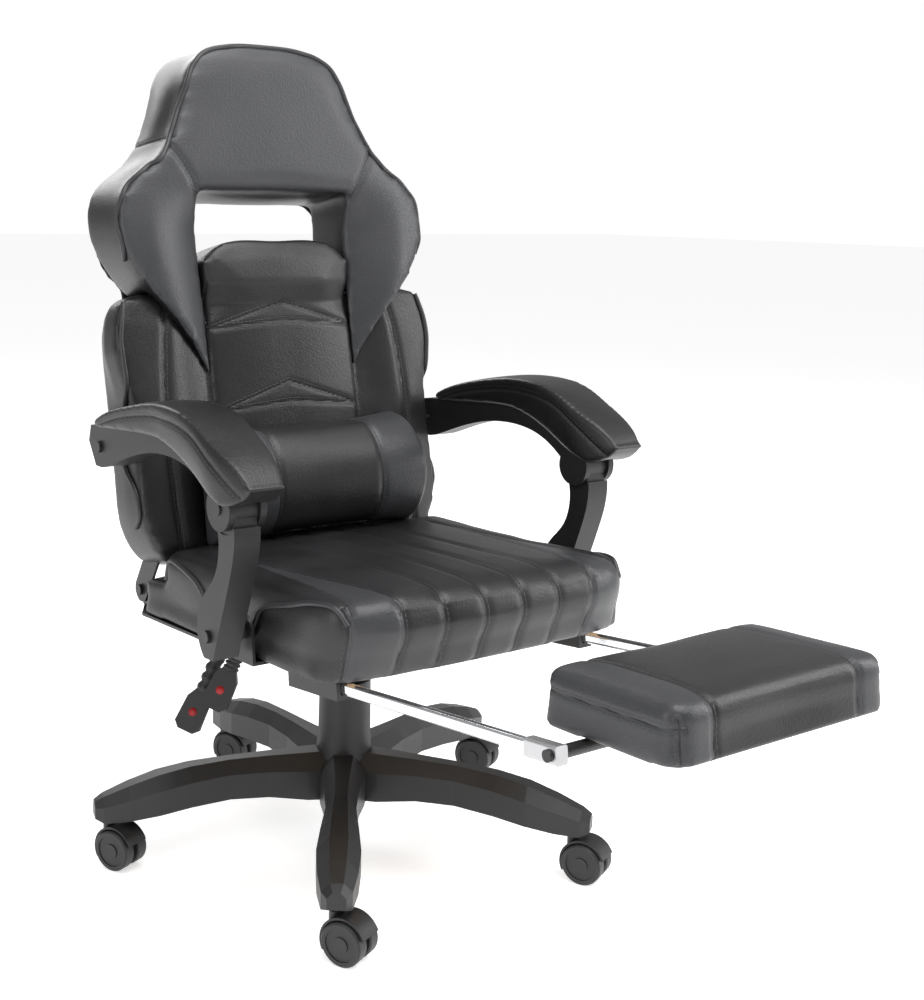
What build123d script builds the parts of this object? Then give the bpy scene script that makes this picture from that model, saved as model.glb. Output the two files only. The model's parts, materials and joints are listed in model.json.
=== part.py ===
"""Reclining gaming chair with a pull-out, fold-under footrest, on a five-star base with twin-wheel casters.

Millimetres. +Z is up, the chair faces -Y and the sitter's right hand is at -X. The origin is on the floor
under the middle of the whole chair with the footrest pulled out.
"""

import os
from math import cos, radians, sin

from build123d import *

# ---------------------------------------------------------------- driving dimensions
COLUMN_Y = 197.0  # the column stands behind the origin, because the footrest reaches forward

# Star base
LEG_COUNT = 5
LEG_REACH = 357.0  # column axis to the leg's tip
LEG_WALL = 4.0
LEG_RIB = 3.0
HUB_RADIUS = 40.0
HUB_LOW = 64.0
HUB_HIGH = 138.0
STEM_REACH = 335.0  # column axis to each caster's stem

# Casters
WHEEL_RADIUS = 28.0
WHEEL_WIDTH = 18.0
CASTER_TRAIL = 19.0  # stem axis to axle, level
CASTER_HEADING = 113.5  # degrees from +X: the way the stem leads the axle
HOOD_GAP = 1.5
HOOD_WALL = 3.0
HOOD_WEB = 7.0
AXLE_RADIUS = 3.0
STEM_RADIUS = 5.5
STEM_COLLAR_TOP = 62.0
STEM_DEPTH = 28.0  # how far the stem goes up into the leg

# Gas spring and its covers
CYLINDER_RADIUS = 25.0
CYLINDER_WALL = 2.5
CYLINDER_LOW = 52.0
CYLINDER_HIGH = 250.0
PISTON_RADIUS = 14.0
PISTON_LOW = 84.0
PISTON_HIGH = 328.0
LIFT_TRAVEL = 90.0
COVER_FOOT_RADIUS = 39.5
COVER_RADIUS = 36.5
COVER_WALL = 2.5
COVER_HIGH = 240.0
UPPER_COVER_RADIUS = 28.5
UPPER_COVER_WALL = 2.0
UPPER_COVER_HIGH = 274.0

# Seat
SEAT_HEIGHT = 341.0  # underside of the seat board, above the floor at the column
SEAT_RAKE = 3.0  # degrees, front up
SEAT_HALF_WIDTH = 245.0
SEAT_REAR = 150.0
SEAT_FRONT = -345.0
SEAT_THICKNESS = 90.0
SEAT_EDGE_RADIUS = 20.0
SEAT_REAR_LEDGE = 46.0  # thickness of the cushion's tail, which runs under the back
BOARD_THICKNESS = 12.0
BOARD_MARGIN = 20.0
STEEL = 4.0

# Mechanism
HOUSING_HALF_WIDTH = 62.0
HOUSING_DEPTH = 62.0
HOUSING_FRONT = -90.0
HOUSING_REAR = 110.0
HOUSING_WALL = 4.0
PLATE_THICKNESS = 3.0
PLATE_HALF_WIDTH = 95.0
PLATE_OVERHANG = 12.0
BOLT_RADIUS = 4.0
BOLT_HEAD_RADIUS = 7.0
BOLT_HEAD_HEIGHT = 4.0

# Levers
LEVER_ROD_RADIUS = 4.0
LEVER_ROD_REACH = 160.0
HEIGHT_LEVER_Y = 34.0
HEIGHT_LEVER_DROP = 47.0  # below the seat board's underside
RECLINE_LEVER_Y = 78.0
RECLINE_LEVER_DROP = 50.0
PADDLE_WIDTH = 38.0
PADDLE_LENGTH = 62.0
PADDLE_THICKNESS = 9.0
HEIGHT_PADDLE_NECK = 20.0  # from the rod to the top of the paddle
RECLINE_PADDLE_NECK = 61.0

# Back
BACK_LEAN = 9.0  # degrees from square to the seat
BACK_FOOT_Y = 90.5
BACK_FOOT_Z = 12.0
BACK_THICKNESS = 100.0
BACK_LOW = 55.0
BACK_HALF_WIDTH = 262.0
BOLSTER_TOP = 440.0
BOLSTER_SETBACK = 8.0
PANEL_HALF_WIDTH = 127.0
PANEL_SHOULDER = 490.0
PANEL_TOP = 520.0
PANEL_THICKNESS = 75.0
WINDOW_HALF_WIDTH = 131.0
WINDOW_TOP = 578.0
HEAD_TOP = 797.0
HEAD_HALF_WIDTH = 100.0
NECK_HEIGHT = 649.0
NECK_HALF_WIDTH = 178.0
WING_HEIGHT = 530.0
WING_TIP_HEIGHT = 318.0
WING_PROUD = 18.0
WING_LAP = 6.0
HEAD_SHEAR = 0.2  # the head's sides run up as they run back
COVER_THICKNESS = 10.0
FRAME_ROD_RADIUS = 7.0
CROSS_ROD_RADIUS = 6.0
FRAME_DEPTH = 58.0
FRAME_HALF_WIDTH = 170.0
FRAME_TOP = 630.0
FRAME_BEND = 45.0
FRAME_LOW = 62.0
FRAME_CROSS_LOW = 78.0
FRAME_CROSS_MIDDLE = 300.0
PILLOW_HALF_WIDTH = 188.0
PILLOW_LOW = 80.0
PILLOW_HIGH = 252.0
PILLOW_THICKNESS = 84.0
CLEARANCE = 0.4

# Recliner hinge
RECLINE_Y = 199.0
RECLINE_Z = 22.0
RECLINER_RADIUS = 20.0
RECLINER_X = SEAT_HALF_WIDTH - 33.0  # inner face of the seat's ear
PIVOT_RADIUS = 5.0
RUNNING_GAP = 0.05

# Arms, in the seat's side view
ARM_X = SEAT_HALF_WIDTH + 38.0  # middle of each arm
ARM_WIDTH = 36.0
ARM_PAD_WIDTH = 76.0
ARM_REAR_PIVOT = (150.0, 240.0)
ARM_FRONT_PIVOT = (-184.0, 200.0)
POST_PIVOT = (-138.0, 36.0)
ARM_DISC_RADIUS = 27.0
ARM_DISC_THICKNESS = 9.0
POST_EYE_RADIUS = 22.0
POST_EYE_WIDTH = 33.0
POST_CLEARANCE = 4.6  # between the arm's disc and the post, for the linkage's play
FRONT_PIVOT_SLACK = 3.6  # the linkage is open here, so the pin stands free in the post's eye
ARM_EAR_X = SEAT_HALF_WIDTH + 3.0

# Footrest
RAIL_X = SEAT_HALF_WIDTH - 50.0
RAIL_Y = -275.0
RAIL_DROP = 14.0
RAIL_RAKE = 3.5  # degrees, steeper than the seat
RAIL_HEIGHT = 16.0
RAIL_WIDTH = 10.0
RAIL_WALL = 1.5
RAIL_LENGTH = 420.0
RAIL_ENGAGED = 80.0  # length left in the guide with the footrest out
GUIDE_LENGTH = 106.0
GUIDE_WALL = 6.0
RAIL_END_LENGTH = 46.0
RAIL_END_HEIGHT = 20.0
RAIL_END_WIDTH = 16.0
FOOT_PIVOT_Y = -361.0  # along the rails, from their start
FOOT_PIN_RADIUS = 4.0
FOOT_BAR_RADIUS = 7.0
PAD_HALF_WIDTH = 163.0
PAD_FRONT = -124.0
PAD_REAR = 64.0
PAD_LOW = 8.0
PAD_HIGH = 63.0
PAD_BOARD_THICKNESS = 6.0
PAD_CORNER_RADIUS = 26.0
PAD_EDGE_RADIUS = 14.0
PAD_BOARD_MARGIN = 14.0

# ---------------------------------------------------------------- frames of reference


def tilted(parent, y, z, angle):
    """A frame at (0, y, z) of its parent, whose front is raised by the angle."""
    up = parent.z_dir * cos(radians(angle)) + parent.y_dir * sin(radians(angle))
    return Plane(origin=parent.from_local_coords((0, y, z)), x_dir=parent.x_dir, z_dir=up)


def side_view(frame, x=0.0):
    """Sketch plane whose first axis runs to the rear and whose second runs up; its normal is +X."""
    return Plane(origin=frame.from_local_coords((x, 0, 0)), x_dir=frame.y_dir, z_dir=frame.x_dir)


def front_view(frame, y=0.0):
    """Sketch plane whose first axis is +X and whose second runs up; its normal faces the front."""
    return Plane(origin=frame.from_local_coords((0, y, 0)), x_dir=frame.x_dir, z_dir=-frame.y_dir)


FLOOR = Plane(origin=(0, COLUMN_Y, 0), x_dir=(1, 0, 0), z_dir=(0, 0, 1))
SEAT = tilted(FLOOR, 0, SEAT_HEIGHT, SEAT_RAKE)
BACK = tilted(SEAT, BACK_FOOT_Y, BACK_FOOT_Z, BACK_LEAN)
RAILS = tilted(SEAT, RAIL_Y, -RAIL_DROP, RAIL_RAKE)
PAD = tilted(RAILS, FOOT_PIVOT_Y, 0, -RAIL_RAKE)


def write(piece, name):
    piece.part.label = name
    export_step(piece.part, f"parts/{name}.step")


def write_pair(piece, name):
    """Write a piece made on the +X side, the sitter's left, and its mirror image."""
    with BuildPart() as twin:
        add(piece.part)
        mirror(about=Plane.YZ, mode=Mode.REPLACE)
    write(piece, f"{name}_left")
    write(twin, f"{name}_right")


os.makedirs("parts", exist_ok=True)

# ---------------------------------------------------------------- star base

# Reach, half width, underside and top of the leg at each change of its shape.
LEG_SECTIONS = (
    (0.0, 36.0, 72.0, 137.5),
    (60.0, 31.0, 74.0, 137.5),
    (115.0, 23.5, 81.0, 137.0),
    (170.0, 20.5, 82.0, 136.0),
    (225.0, 25.0, 78.0, 132.0),
    (270.0, 28.5, 72.0, 124.0),
    (310.0, 26.0, 67.0, 112.0),
    (345.0, 19.5, 64.5, 99.0),
    (LEG_REACH, 12.0, 70.0, 92.0),
)
LEG_CREST = 0.42  # share of the width that the flat top takes
LEG_SHOULDER = 0.34  # share of the height below which the sides are upright


def leg_loft(inset, rise, sections):
    """Loft the leg's faceted sections, drawn in by inset and with the top lowered by rise."""
    with BuildPart() as shape:
        for reach, half_width, low, high in sections:
            width = half_width - inset
            top = high - rise
            shoulder = top - LEG_SHOULDER * (high - low)
            crest = LEG_CREST * width
            with BuildSketch(front_view(FLOOR, reach)):
                with BuildLine():
                    Polyline(
                        (-width, low - rise), (width, low - rise), (width, shoulder),
                        (crest, top), (-crest, top), (-width, shoulder), close=True,
                    )
                make_face()
        loft(ruled=True)
    return shape.part


with BuildPart() as leg_hollow:
    add(leg_loft(LEG_WALL, LEG_WALL + 2, LEG_SECTIONS[1:-2]))
    for reach in (150.0, 200.0, 250.0):
        with BuildSketch(front_view(FLOOR, reach)):
            Rectangle(2 * HUB_RADIUS, 2 * HUB_HIGH)
        extrude(amount=LEG_RIB, mode=Mode.SUBTRACT)

with BuildPart() as leg:
    add(leg_loft(0.0, 0.0, LEG_SECTIONS))
    add(leg_hollow.part, mode=Mode.SUBTRACT)

with BuildPart() as star_base:
    with BuildSketch(FLOOR.offset(HUB_LOW)):
        Circle(HUB_RADIUS)
    extrude(amount=HUB_HIGH - HUB_LOW)
    for number in range(LEG_COUNT):
        add(leg.part.rotate(Axis(FLOOR.origin, FLOOR.z_dir), number * 360 / LEG_COUNT))
    with BuildSketch(FLOOR.offset(HUB_LOW)):
        Circle(CYLINDER_RADIUS)
    extrude(amount=HUB_HIGH - HUB_LOW, mode=Mode.SUBTRACT)
    with BuildSketch(FLOOR.offset(STEM_COLLAR_TOP)):
        with PolarLocations(STEM_REACH, LEG_COUNT, start_angle=90):
            Circle(STEM_RADIUS + RUNNING_GAP)
    extrude(amount=STEM_DEPTH + 1, mode=Mode.SUBTRACT)
write(star_base, "star_base")

# ---------------------------------------------------------------- casters


def caster_frame(number):
    """Frame on the floor under the caster's axle: X along the axle, Y away from the stem."""
    angle = radians(90 + number * 360 / LEG_COUNT)
    heading = radians(CASTER_HEADING)
    stem = Vector(STEM_REACH * cos(angle), STEM_REACH * sin(angle) + COLUMN_Y, 0)
    lead = Vector(cos(heading), sin(heading), 0)
    return Plane(origin=stem - lead * CASTER_TRAIL, x_dir=(-sin(heading), cos(heading), 0), z_dir=(0, 0, 1))


HOOD_RADIUS = WHEEL_RADIUS + HOOD_GAP + HOOD_WALL
HOOD_HALF_WIDTH = HOOD_WEB / 2 + HOOD_GAP / 2 + WHEEL_WIDTH * 0.72
HOOD_FRONT_ANGLE = 208.0
HOOD_REAR_ANGLE = 22.0
STEM_SOCKET_RADIUS = 9.5
STEM_LOW = WHEEL_RADIUS + 25
SOCKET_LOW = WHEEL_RADIUS + 18
WHEEL_INNER = HOOD_WEB / 2 + HOOD_GAP / 2


def sector(inner, outer, start, end):
    """Ring sector about the axle in a side view, angles in degrees from the rear, up and over."""
    with BuildSketch() as ring:
        with BuildLine():
            low = CenterArc((0, WHEEL_RADIUS), outer, start, end - start)
            high = CenterArc((0, WHEEL_RADIUS), inner, start, end - start)
            Line(low @ 0, high @ 0)
            Line(low @ 1, high @ 1)
        make_face()
    return ring.sketch


def make_caster(number):
    frame = caster_frame(number)
    stem_plane = Plane(origin=frame.from_local_coords((0, -CASTER_TRAIL, 0)), z_dir=frame.z_dir)
    with BuildPart() as hood:
        with BuildSketch(side_view(frame, -HOOD_HALF_WIDTH)):
            add(sector(HOOD_RADIUS - HOOD_WALL, HOOD_RADIUS, HOOD_REAR_ANGLE, HOOD_FRONT_ANGLE))
        extrude(amount=2 * HOOD_HALF_WIDTH)
        with BuildSketch(side_view(frame, -HOOD_WEB / 2)):
            with BuildLine():
                rim = CenterArc((0, WHEEL_RADIUS), HOOD_RADIUS - HOOD_WALL / 2, 40, 150)
                Polyline(rim @ 1, (-8, WHEEL_RADIUS - 10), (9, WHEEL_RADIUS - 8), rim @ 0)
            make_face()
        extrude(amount=HOOD_WEB)
        with BuildSketch(stem_plane.offset(SOCKET_LOW)):
            Circle(STEM_SOCKET_RADIUS)
        extrude(amount=STEM_COLLAR_TOP - 1 - SOCKET_LOW)
        with BuildSketch(side_view(frame, WHEEL_INNER)):
            with Locations((0, WHEEL_RADIUS)):
                Circle(HOOD_RADIUS - HOOD_WALL)
        extrude(amount=HOOD_RADIUS, mode=Mode.SUBTRACT)
        with BuildSketch(side_view(frame, -WHEEL_INNER)):
            with Locations((0, WHEEL_RADIUS)):
                Circle(HOOD_RADIUS - HOOD_WALL)
        extrude(amount=-HOOD_RADIUS, mode=Mode.SUBTRACT)
        with BuildSketch(side_view(frame, -HOOD_RADIUS)):
            with Locations((0, WHEEL_RADIUS)):
                Circle(AXLE_RADIUS)
        extrude(amount=2 * HOOD_RADIUS, mode=Mode.SUBTRACT)
        with BuildSketch(stem_plane.offset(STEM_LOW)):
            Circle(STEM_RADIUS)
        extrude(amount=2 * HOOD_RADIUS, mode=Mode.SUBTRACT)
    write(hood, f"caster_hood_{number + 1}")
    with BuildPart() as pins:
        with BuildSketch(stem_plane.offset(STEM_LOW)):
            Circle(STEM_RADIUS)
        extrude(amount=STEM_COLLAR_TOP + STEM_DEPTH - STEM_LOW)
        with BuildSketch(side_view(frame, -WHEEL_INNER - WHEEL_WIDTH + 2)):
            with Locations((0, WHEEL_RADIUS)):
                Circle(AXLE_RADIUS)
        extrude(amount=2 * (WHEEL_INNER + WHEEL_WIDTH - 2))
    write(pins, f"caster_pins_{number + 1}")
    for side, name in ((1, "a"), (-1, "b")):
        with BuildPart() as wheel:
            with BuildSketch(side_view(frame, side * WHEEL_INNER)):
                with Locations((0, WHEEL_RADIUS)):
                    Circle(WHEEL_RADIUS)
            extrude(amount=side * WHEEL_WIDTH)
            chamfer(wheel.edges().filter_by(GeomType.CIRCLE), length=2)
            with BuildSketch(side_view(frame, side * (WHEEL_INNER + WHEEL_WIDTH))):
                with Locations((0, WHEEL_RADIUS)):
                    Circle(WHEEL_RADIUS - 7)
                    Circle(AXLE_RADIUS + 7, mode=Mode.SUBTRACT)
            extrude(amount=-side * 1.5, mode=Mode.SUBTRACT)
            with BuildSketch(side_view(frame, side * WHEEL_INNER)):
                with Locations((0, WHEEL_RADIUS)):
                    Circle(AXLE_RADIUS + RUNNING_GAP)
            extrude(amount=side * (WHEEL_WIDTH - 1.5), mode=Mode.SUBTRACT)
        write(wheel, f"caster_wheel_{number + 1}{name}")


for caster_number in range(LEG_COUNT):
    make_caster(caster_number)

# ---------------------------------------------------------------- gas spring and covers

with BuildPart() as gas_cylinder:
    with BuildSketch(FLOOR.offset(CYLINDER_LOW)):
        Circle(CYLINDER_RADIUS)
    extrude(amount=CYLINDER_HIGH - CYLINDER_LOW)
    with BuildSketch(FLOOR.offset(CYLINDER_LOW + 4)):
        Circle(CYLINDER_RADIUS - CYLINDER_WALL)
    extrude(amount=CYLINDER_HIGH - CYLINDER_LOW - 24, mode=Mode.SUBTRACT)
    with BuildSketch(FLOOR.offset(CYLINDER_HIGH)):
        Circle(PISTON_RADIUS + RUNNING_GAP)
    extrude(amount=-24, mode=Mode.SUBTRACT)
write(gas_cylinder, "gas_cylinder")

with BuildPart() as lower_column_cover:
    with BuildSketch(side_view(FLOOR)):
        with BuildLine():
            Polyline(
                (COVER_FOOT_RADIUS, HUB_HIGH), (COVER_RADIUS + 0.6, HUB_HIGH + 30), (COVER_RADIUS, COVER_HIGH),
                (UPPER_COVER_RADIUS + CLEARANCE, COVER_HIGH), (UPPER_COVER_RADIUS + CLEARANCE, COVER_HIGH - 3),
                (COVER_RADIUS - COVER_WALL, COVER_HIGH - 3), (COVER_RADIUS - COVER_WALL, HUB_HIGH), close=True,
            )
        make_face()
    revolve(axis=Axis(FLOOR.origin, FLOOR.z_dir))
write(lower_column_cover, "lower_column_cover")

with BuildPart() as upper_column_cover:
    with BuildSketch(side_view(FLOOR)):
        with BuildLine():
            Polyline(
                (UPPER_COVER_RADIUS, COVER_HIGH - LIFT_TRAVEL - 5), (UPPER_COVER_RADIUS, UPPER_COVER_HIGH),
                (PISTON_RADIUS, UPPER_COVER_HIGH), (PISTON_RADIUS, UPPER_COVER_HIGH - 3),
                (UPPER_COVER_RADIUS - UPPER_COVER_WALL, UPPER_COVER_HIGH - 3),
                (UPPER_COVER_RADIUS - UPPER_COVER_WALL, COVER_HIGH - LIFT_TRAVEL - 5), close=True,
            )
        make_face()
    revolve(axis=Axis(FLOOR.origin, FLOOR.z_dir))
write(upper_column_cover, "upper_column_cover")

with BuildPart() as gas_piston:
    with BuildSketch(FLOOR.offset(PISTON_LOW)):
        Circle(PISTON_RADIUS)
    extrude(amount=PISTON_HIGH - PISTON_LOW)
    chamfer(gas_piston.edges().filter_by(GeomType.CIRCLE), length=1)
write(gas_piston, "gas_piston")

# ---------------------------------------------------------------- mechanism and levers

HOUSING_MIDDLE = (HOUSING_FRONT + HOUSING_REAR) / 2
HOUSING_LENGTH = HOUSING_REAR - HOUSING_FRONT
HUB_TUBE_RADIUS = PISTON_RADIUS + 9
BOLT_SPACING_X = 2 * (PLATE_HALF_WIDTH - 15)
BOLT_SPACING_Y = HOUSING_LENGTH - 30

with BuildPart() as mechanism_housing:
    with BuildSketch(SEAT.offset(-HOUSING_DEPTH)):
        with Locations((0, HOUSING_MIDDLE)):
            RectangleRounded(2 * HOUSING_HALF_WIDTH, HOUSING_LENGTH, 14)
    extrude(amount=HOUSING_DEPTH - PLATE_THICKNESS)
    with BuildSketch(SEAT.offset(HOUSING_WALL - HOUSING_DEPTH)):
        with Locations((0, HOUSING_MIDDLE)):
            RectangleRounded(2 * (HOUSING_HALF_WIDTH - HOUSING_WALL), HOUSING_LENGTH - 2 * HOUSING_WALL, 10)
    extrude(amount=HOUSING_DEPTH, mode=Mode.SUBTRACT)
    with BuildSketch(FLOOR.offset(UPPER_COVER_HIGH + 2)):
        Circle(HUB_TUBE_RADIUS)
    extrude(amount=SEAT_HEIGHT - UPPER_COVER_HIGH)
    split(bisect_by=SEAT.offset(-PLATE_THICKNESS), keep=Keep.BOTTOM)
    with BuildSketch(FLOOR.offset(UPPER_COVER_HIGH)):
        Circle(PISTON_RADIUS + RUNNING_GAP)
    extrude(amount=PISTON_HIGH - UPPER_COVER_HIGH + 0.2, mode=Mode.SUBTRACT)
    with BuildSketch(side_view(SEAT, -HOUSING_HALF_WIDTH - 1)):
        with Locations((HEIGHT_LEVER_Y, -HEIGHT_LEVER_DROP), (RECLINE_LEVER_Y, -RECLINE_LEVER_DROP)):
            Circle(LEVER_ROD_RADIUS + RUNNING_GAP)
    extrude(amount=HOUSING_WALL + 2, mode=Mode.SUBTRACT)
write(mechanism_housing, "mechanism_housing")

with BuildPart() as mounting_plate:
    with BuildSketch(SEAT):
        with Locations((0, HOUSING_MIDDLE)):
            RectangleRounded(2 * PLATE_HALF_WIDTH, HOUSING_LENGTH + 2 * PLATE_OVERHANG, 12)
            with GridLocations(BOLT_SPACING_X, BOLT_SPACING_Y, 2, 2):
                Circle(BOLT_RADIUS, mode=Mode.SUBTRACT)
    extrude(amount=-PLATE_THICKNESS)
write(mounting_plate, "mounting_plate")

with BuildPart() as mechanism_bolts:
    with BuildSketch(SEAT.offset(-PLATE_THICKNESS - BOLT_HEAD_HEIGHT)):
        with Locations((0, HOUSING_MIDDLE)):
            with GridLocations(BOLT_SPACING_X, BOLT_SPACING_Y, 2, 2):
                RegularPolygon(BOLT_HEAD_RADIUS, 6)
    extrude(amount=BOLT_HEAD_HEIGHT)
    with BuildSketch(SEAT.offset(-PLATE_THICKNESS)):
        with Locations((0, HOUSING_MIDDLE)):
            with GridLocations(BOLT_SPACING_X, BOLT_SPACING_Y, 2, 2):
                Circle(BOLT_RADIUS)
    extrude(amount=PLATE_THICKNESS + BOARD_THICKNESS)
write(mechanism_bolts, "mechanism_bolts")

# The paddles hang down and out from their rods, with their faces turned to the sitter's right and forward.
PADDLE_DOWN = Vector(-0.40, 0.08, -0.91).normalized()
PADDLE_FACE = Vector(-0.64, -0.62, 0.35).normalized()


def make_lever(name, rod_y, drop, hang):
    """A rod out of the housing with a paddle moulded on its end; hang lowers the paddle."""
    rod_end = SEAT.from_local_coords((-LEVER_ROD_REACH, rod_y, -drop))
    paddle = Plane(origin=rod_end + PADDLE_DOWN * hang, x_dir=PADDLE_FACE.cross(PADDLE_DOWN), z_dir=PADDLE_FACE)
    with BuildPart() as lever:
        with BuildSketch(side_view(SEAT, -LEVER_ROD_REACH)):
            with Locations((rod_y, -drop)):
                Circle(LEVER_ROD_RADIUS)
        extrude(amount=LEVER_ROD_REACH - HOUSING_HALF_WIDTH + 14)
        with BuildSketch(paddle.offset(-PADDLE_THICKNESS / 2)):
            with BuildLine():
                Polyline(
                    (-7, hang + 5), (7, hang + 5), (8, 0), (PADDLE_WIDTH / 2 - 2, -16),
                    (PADDLE_WIDTH / 2, -PADDLE_LENGTH + 8), (PADDLE_WIDTH / 2 - 8, -PADDLE_LENGTH),
                    (8 - PADDLE_WIDTH / 2, -PADDLE_LENGTH), (-PADDLE_WIDTH / 2, -PADDLE_LENGTH + 8),
                    (2 - PADDLE_WIDTH / 2, -16), (-8, 0), close=True,
                )
            make_face()
        extrude(amount=PADDLE_THICKNESS)
    write(lever, name)


make_lever("height_lever", HEIGHT_LEVER_Y, HEIGHT_LEVER_DROP, HEIGHT_PADDLE_NECK)
make_lever("recline_lever", RECLINE_LEVER_Y, RECLINE_LEVER_DROP, RECLINE_PADDLE_NECK)

# ---------------------------------------------------------------- seat

BOARD_HALF_WIDTH = SEAT_HALF_WIDTH - BOARD_MARGIN
BOARD_FRONT = SEAT_FRONT + 2.5 * BOARD_MARGIN
BOARD_REAR = SEAT_REAR - BOARD_MARGIN / 2
BACK_CLEAR_Y = BACK_FOOT_Y + 2.5
NOSE_X = 150.0
NOSE_Y = SEAT_FRONT + 8
CORNER_Y = SEAT_FRONT + 85


def board_outline():
    with Locations((0, (BOARD_FRONT + BOARD_REAR) / 2)):
        RectangleRounded(2 * BOARD_HALF_WIDTH, BOARD_REAR - BOARD_FRONT, 40)


with BuildPart() as seat_board:
    with BuildSketch(SEAT):
        board_outline()
        with Locations((0, HOUSING_MIDDLE)):
            with GridLocations(BOLT_SPACING_X, BOLT_SPACING_Y, 2, 2):
                Circle(BOLT_RADIUS, mode=Mode.SUBTRACT)
    extrude(amount=BOARD_THICKNESS)
write(seat_board, "seat_board")

with BuildPart() as seat_cushion:
    with BuildSketch(SEAT):
        with BuildLine():
            nose = ThreePointArc((-NOSE_X, NOSE_Y), (0, SEAT_FRONT), (NOSE_X, NOSE_Y))
            left = Spline(
                (NOSE_X, NOSE_Y), (SEAT_HALF_WIDTH - 20, SEAT_FRONT + 30), (SEAT_HALF_WIDTH, CORNER_Y),
                tangents=((1, 0.1), (0, 1)),
            )
            Polyline(
                (SEAT_HALF_WIDTH, CORNER_Y), (SEAT_HALF_WIDTH, SEAT_REAR),
                (-SEAT_HALF_WIDTH, SEAT_REAR), (-SEAT_HALF_WIDTH, CORNER_Y),
            )
            mirror(left, about=Plane.YZ)
        make_face()
    extrude(amount=SEAT_THICKNESS)
    fillet(seat_cushion.faces().sort_by(Axis(SEAT.origin, SEAT.z_dir))[-1].edges(), radius=SEAT_EDGE_RADIUS)
    with BuildSketch(SEAT.offset(SEAT_REAR_LEDGE)):
        with Locations((0, (BACK_CLEAR_Y + SEAT_REAR) / 2 + 10)):
            Rectangle(3 * SEAT_HALF_WIDTH, SEAT_REAR - BACK_CLEAR_Y + 20)
    extrude(amount=SEAT_THICKNESS, mode=Mode.SUBTRACT)
    with BuildSketch(SEAT):
        board_outline()
    extrude(amount=BOARD_THICKNESS, mode=Mode.SUBTRACT)
    with BuildSketch(SEAT.offset(BOARD_THICKNESS)):
        with Locations((0, HOUSING_MIDDLE)):
            with GridLocations(BOLT_SPACING_X, BOLT_SPACING_Y, 2, 2):
                Circle(BOLT_RADIUS)
    extrude(amount=0.5, mode=Mode.SUBTRACT)
write(seat_cushion, "seat_cushion")

# One pressed-steel side frame carries the recliner's ear at the rear and the arm post's ear in front.
FLANGE_INNER = RAIL_X + RAIL_WIDTH / 2 + GUIDE_WALL + 2
FLANGE_OUTER = SEAT_HALF_WIDTH - 2
ARM_EAR_HALF = 24.0
EAR_RISE = 22.0
BOLT_END = ARM_X + ARM_WIDTH / 2 + BOLT_HEAD_HEIGHT

with BuildPart() as side_frame:
    with BuildSketch(SEAT):
        with BuildLine():
            Polyline(
                (FLANGE_INNER, POST_PIVOT[0] - ARM_EAR_HALF), (ARM_EAR_X + STEEL, POST_PIVOT[0] - ARM_EAR_HALF),
                (ARM_EAR_X + STEEL, POST_PIVOT[0] + ARM_EAR_HALF), (FLANGE_OUTER, POST_PIVOT[0] + ARM_EAR_HALF + 12),
                (FLANGE_OUTER, SEAT_REAR + 4), (RECLINER_X + STEEL, RECLINE_Y), (RECLINER_X, RECLINE_Y),
                (RECLINER_X, SEAT_REAR + 2), (FLANGE_INNER, SEAT_REAR - 40), close=True,
            )
        make_face()
    extrude(amount=-STEEL)
    with BuildSketch(side_view(SEAT, ARM_EAR_X)):
        with BuildLine():
            tip = CenterArc(POST_PIVOT, EAR_RISE, 0, 180)
            Polyline(tip @ 1, (POST_PIVOT[0] - ARM_EAR_HALF, -STEEL), (POST_PIVOT[0] + ARM_EAR_HALF, -STEEL), tip @ 0)
        make_face()
        with Locations(POST_PIVOT):
            Circle(PIVOT_RADIUS, mode=Mode.SUBTRACT)
    extrude(amount=STEEL)
    with BuildSketch(side_view(SEAT, RECLINER_X)):
        with BuildLine():
            heel = CenterArc((RECLINE_Y, RECLINE_Z), RECLINER_RADIUS, -70, 160)
            Polyline(heel @ 1, (SEAT_REAR + 2, RECLINE_Z + 8), (SEAT_REAR + 2, -STEEL), (RECLINE_Y, -STEEL), heel @ 0)
        make_face()
        with Locations((RECLINE_Y, RECLINE_Z)):
            Circle(PIVOT_RADIUS, mode=Mode.SUBTRACT)
    extrude(amount=STEEL)
write_pair(side_frame, "side_frame")

with BuildPart() as pivot_bolts:
    with BuildSketch(side_view(SEAT, ARM_EAR_X)):
        with Locations(POST_PIVOT):
            Circle(PIVOT_RADIUS)
    extrude(amount=BOLT_END - ARM_EAR_X)
    with BuildSketch(side_view(SEAT, ARM_EAR_X + STEEL)):
        with Locations(POST_PIVOT):
            Circle(2 * PIVOT_RADIUS)
    extrude(amount=ARM_X - ARM_WIDTH / 2 - ARM_EAR_X - STEEL - CLEARANCE)
    with BuildSketch(side_view(SEAT, ARM_X + ARM_WIDTH / 2 + CLEARANCE)):
        with Locations(POST_PIVOT):
            Circle(1.6 * PIVOT_RADIUS)
    extrude(amount=BOLT_HEAD_HEIGHT)
    with BuildSketch(side_view(SEAT, RECLINER_X - 3)):
        with Locations((RECLINE_Y, RECLINE_Z)):
            Circle(PIVOT_RADIUS)
    extrude(amount=2 * STEEL + 9)
    with BuildSketch(side_view(SEAT, RECLINER_X)):
        with Locations((RECLINE_Y, RECLINE_Z)):
            Circle(1.6 * PIVOT_RADIUS)
    extrude(amount=-BOLT_HEAD_HEIGHT)
    with BuildSketch(side_view(SEAT, RECLINER_X + 2 * STEEL + 2)):
        with Locations((RECLINE_Y, RECLINE_Z)):
            Circle(1.6 * PIVOT_RADIUS)
    extrude(amount=BOLT_HEAD_HEIGHT)
    mirror(about=Plane.YZ)
write(pivot_bolts, "pivot_bolts")

# ---------------------------------------------------------------- back


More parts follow.
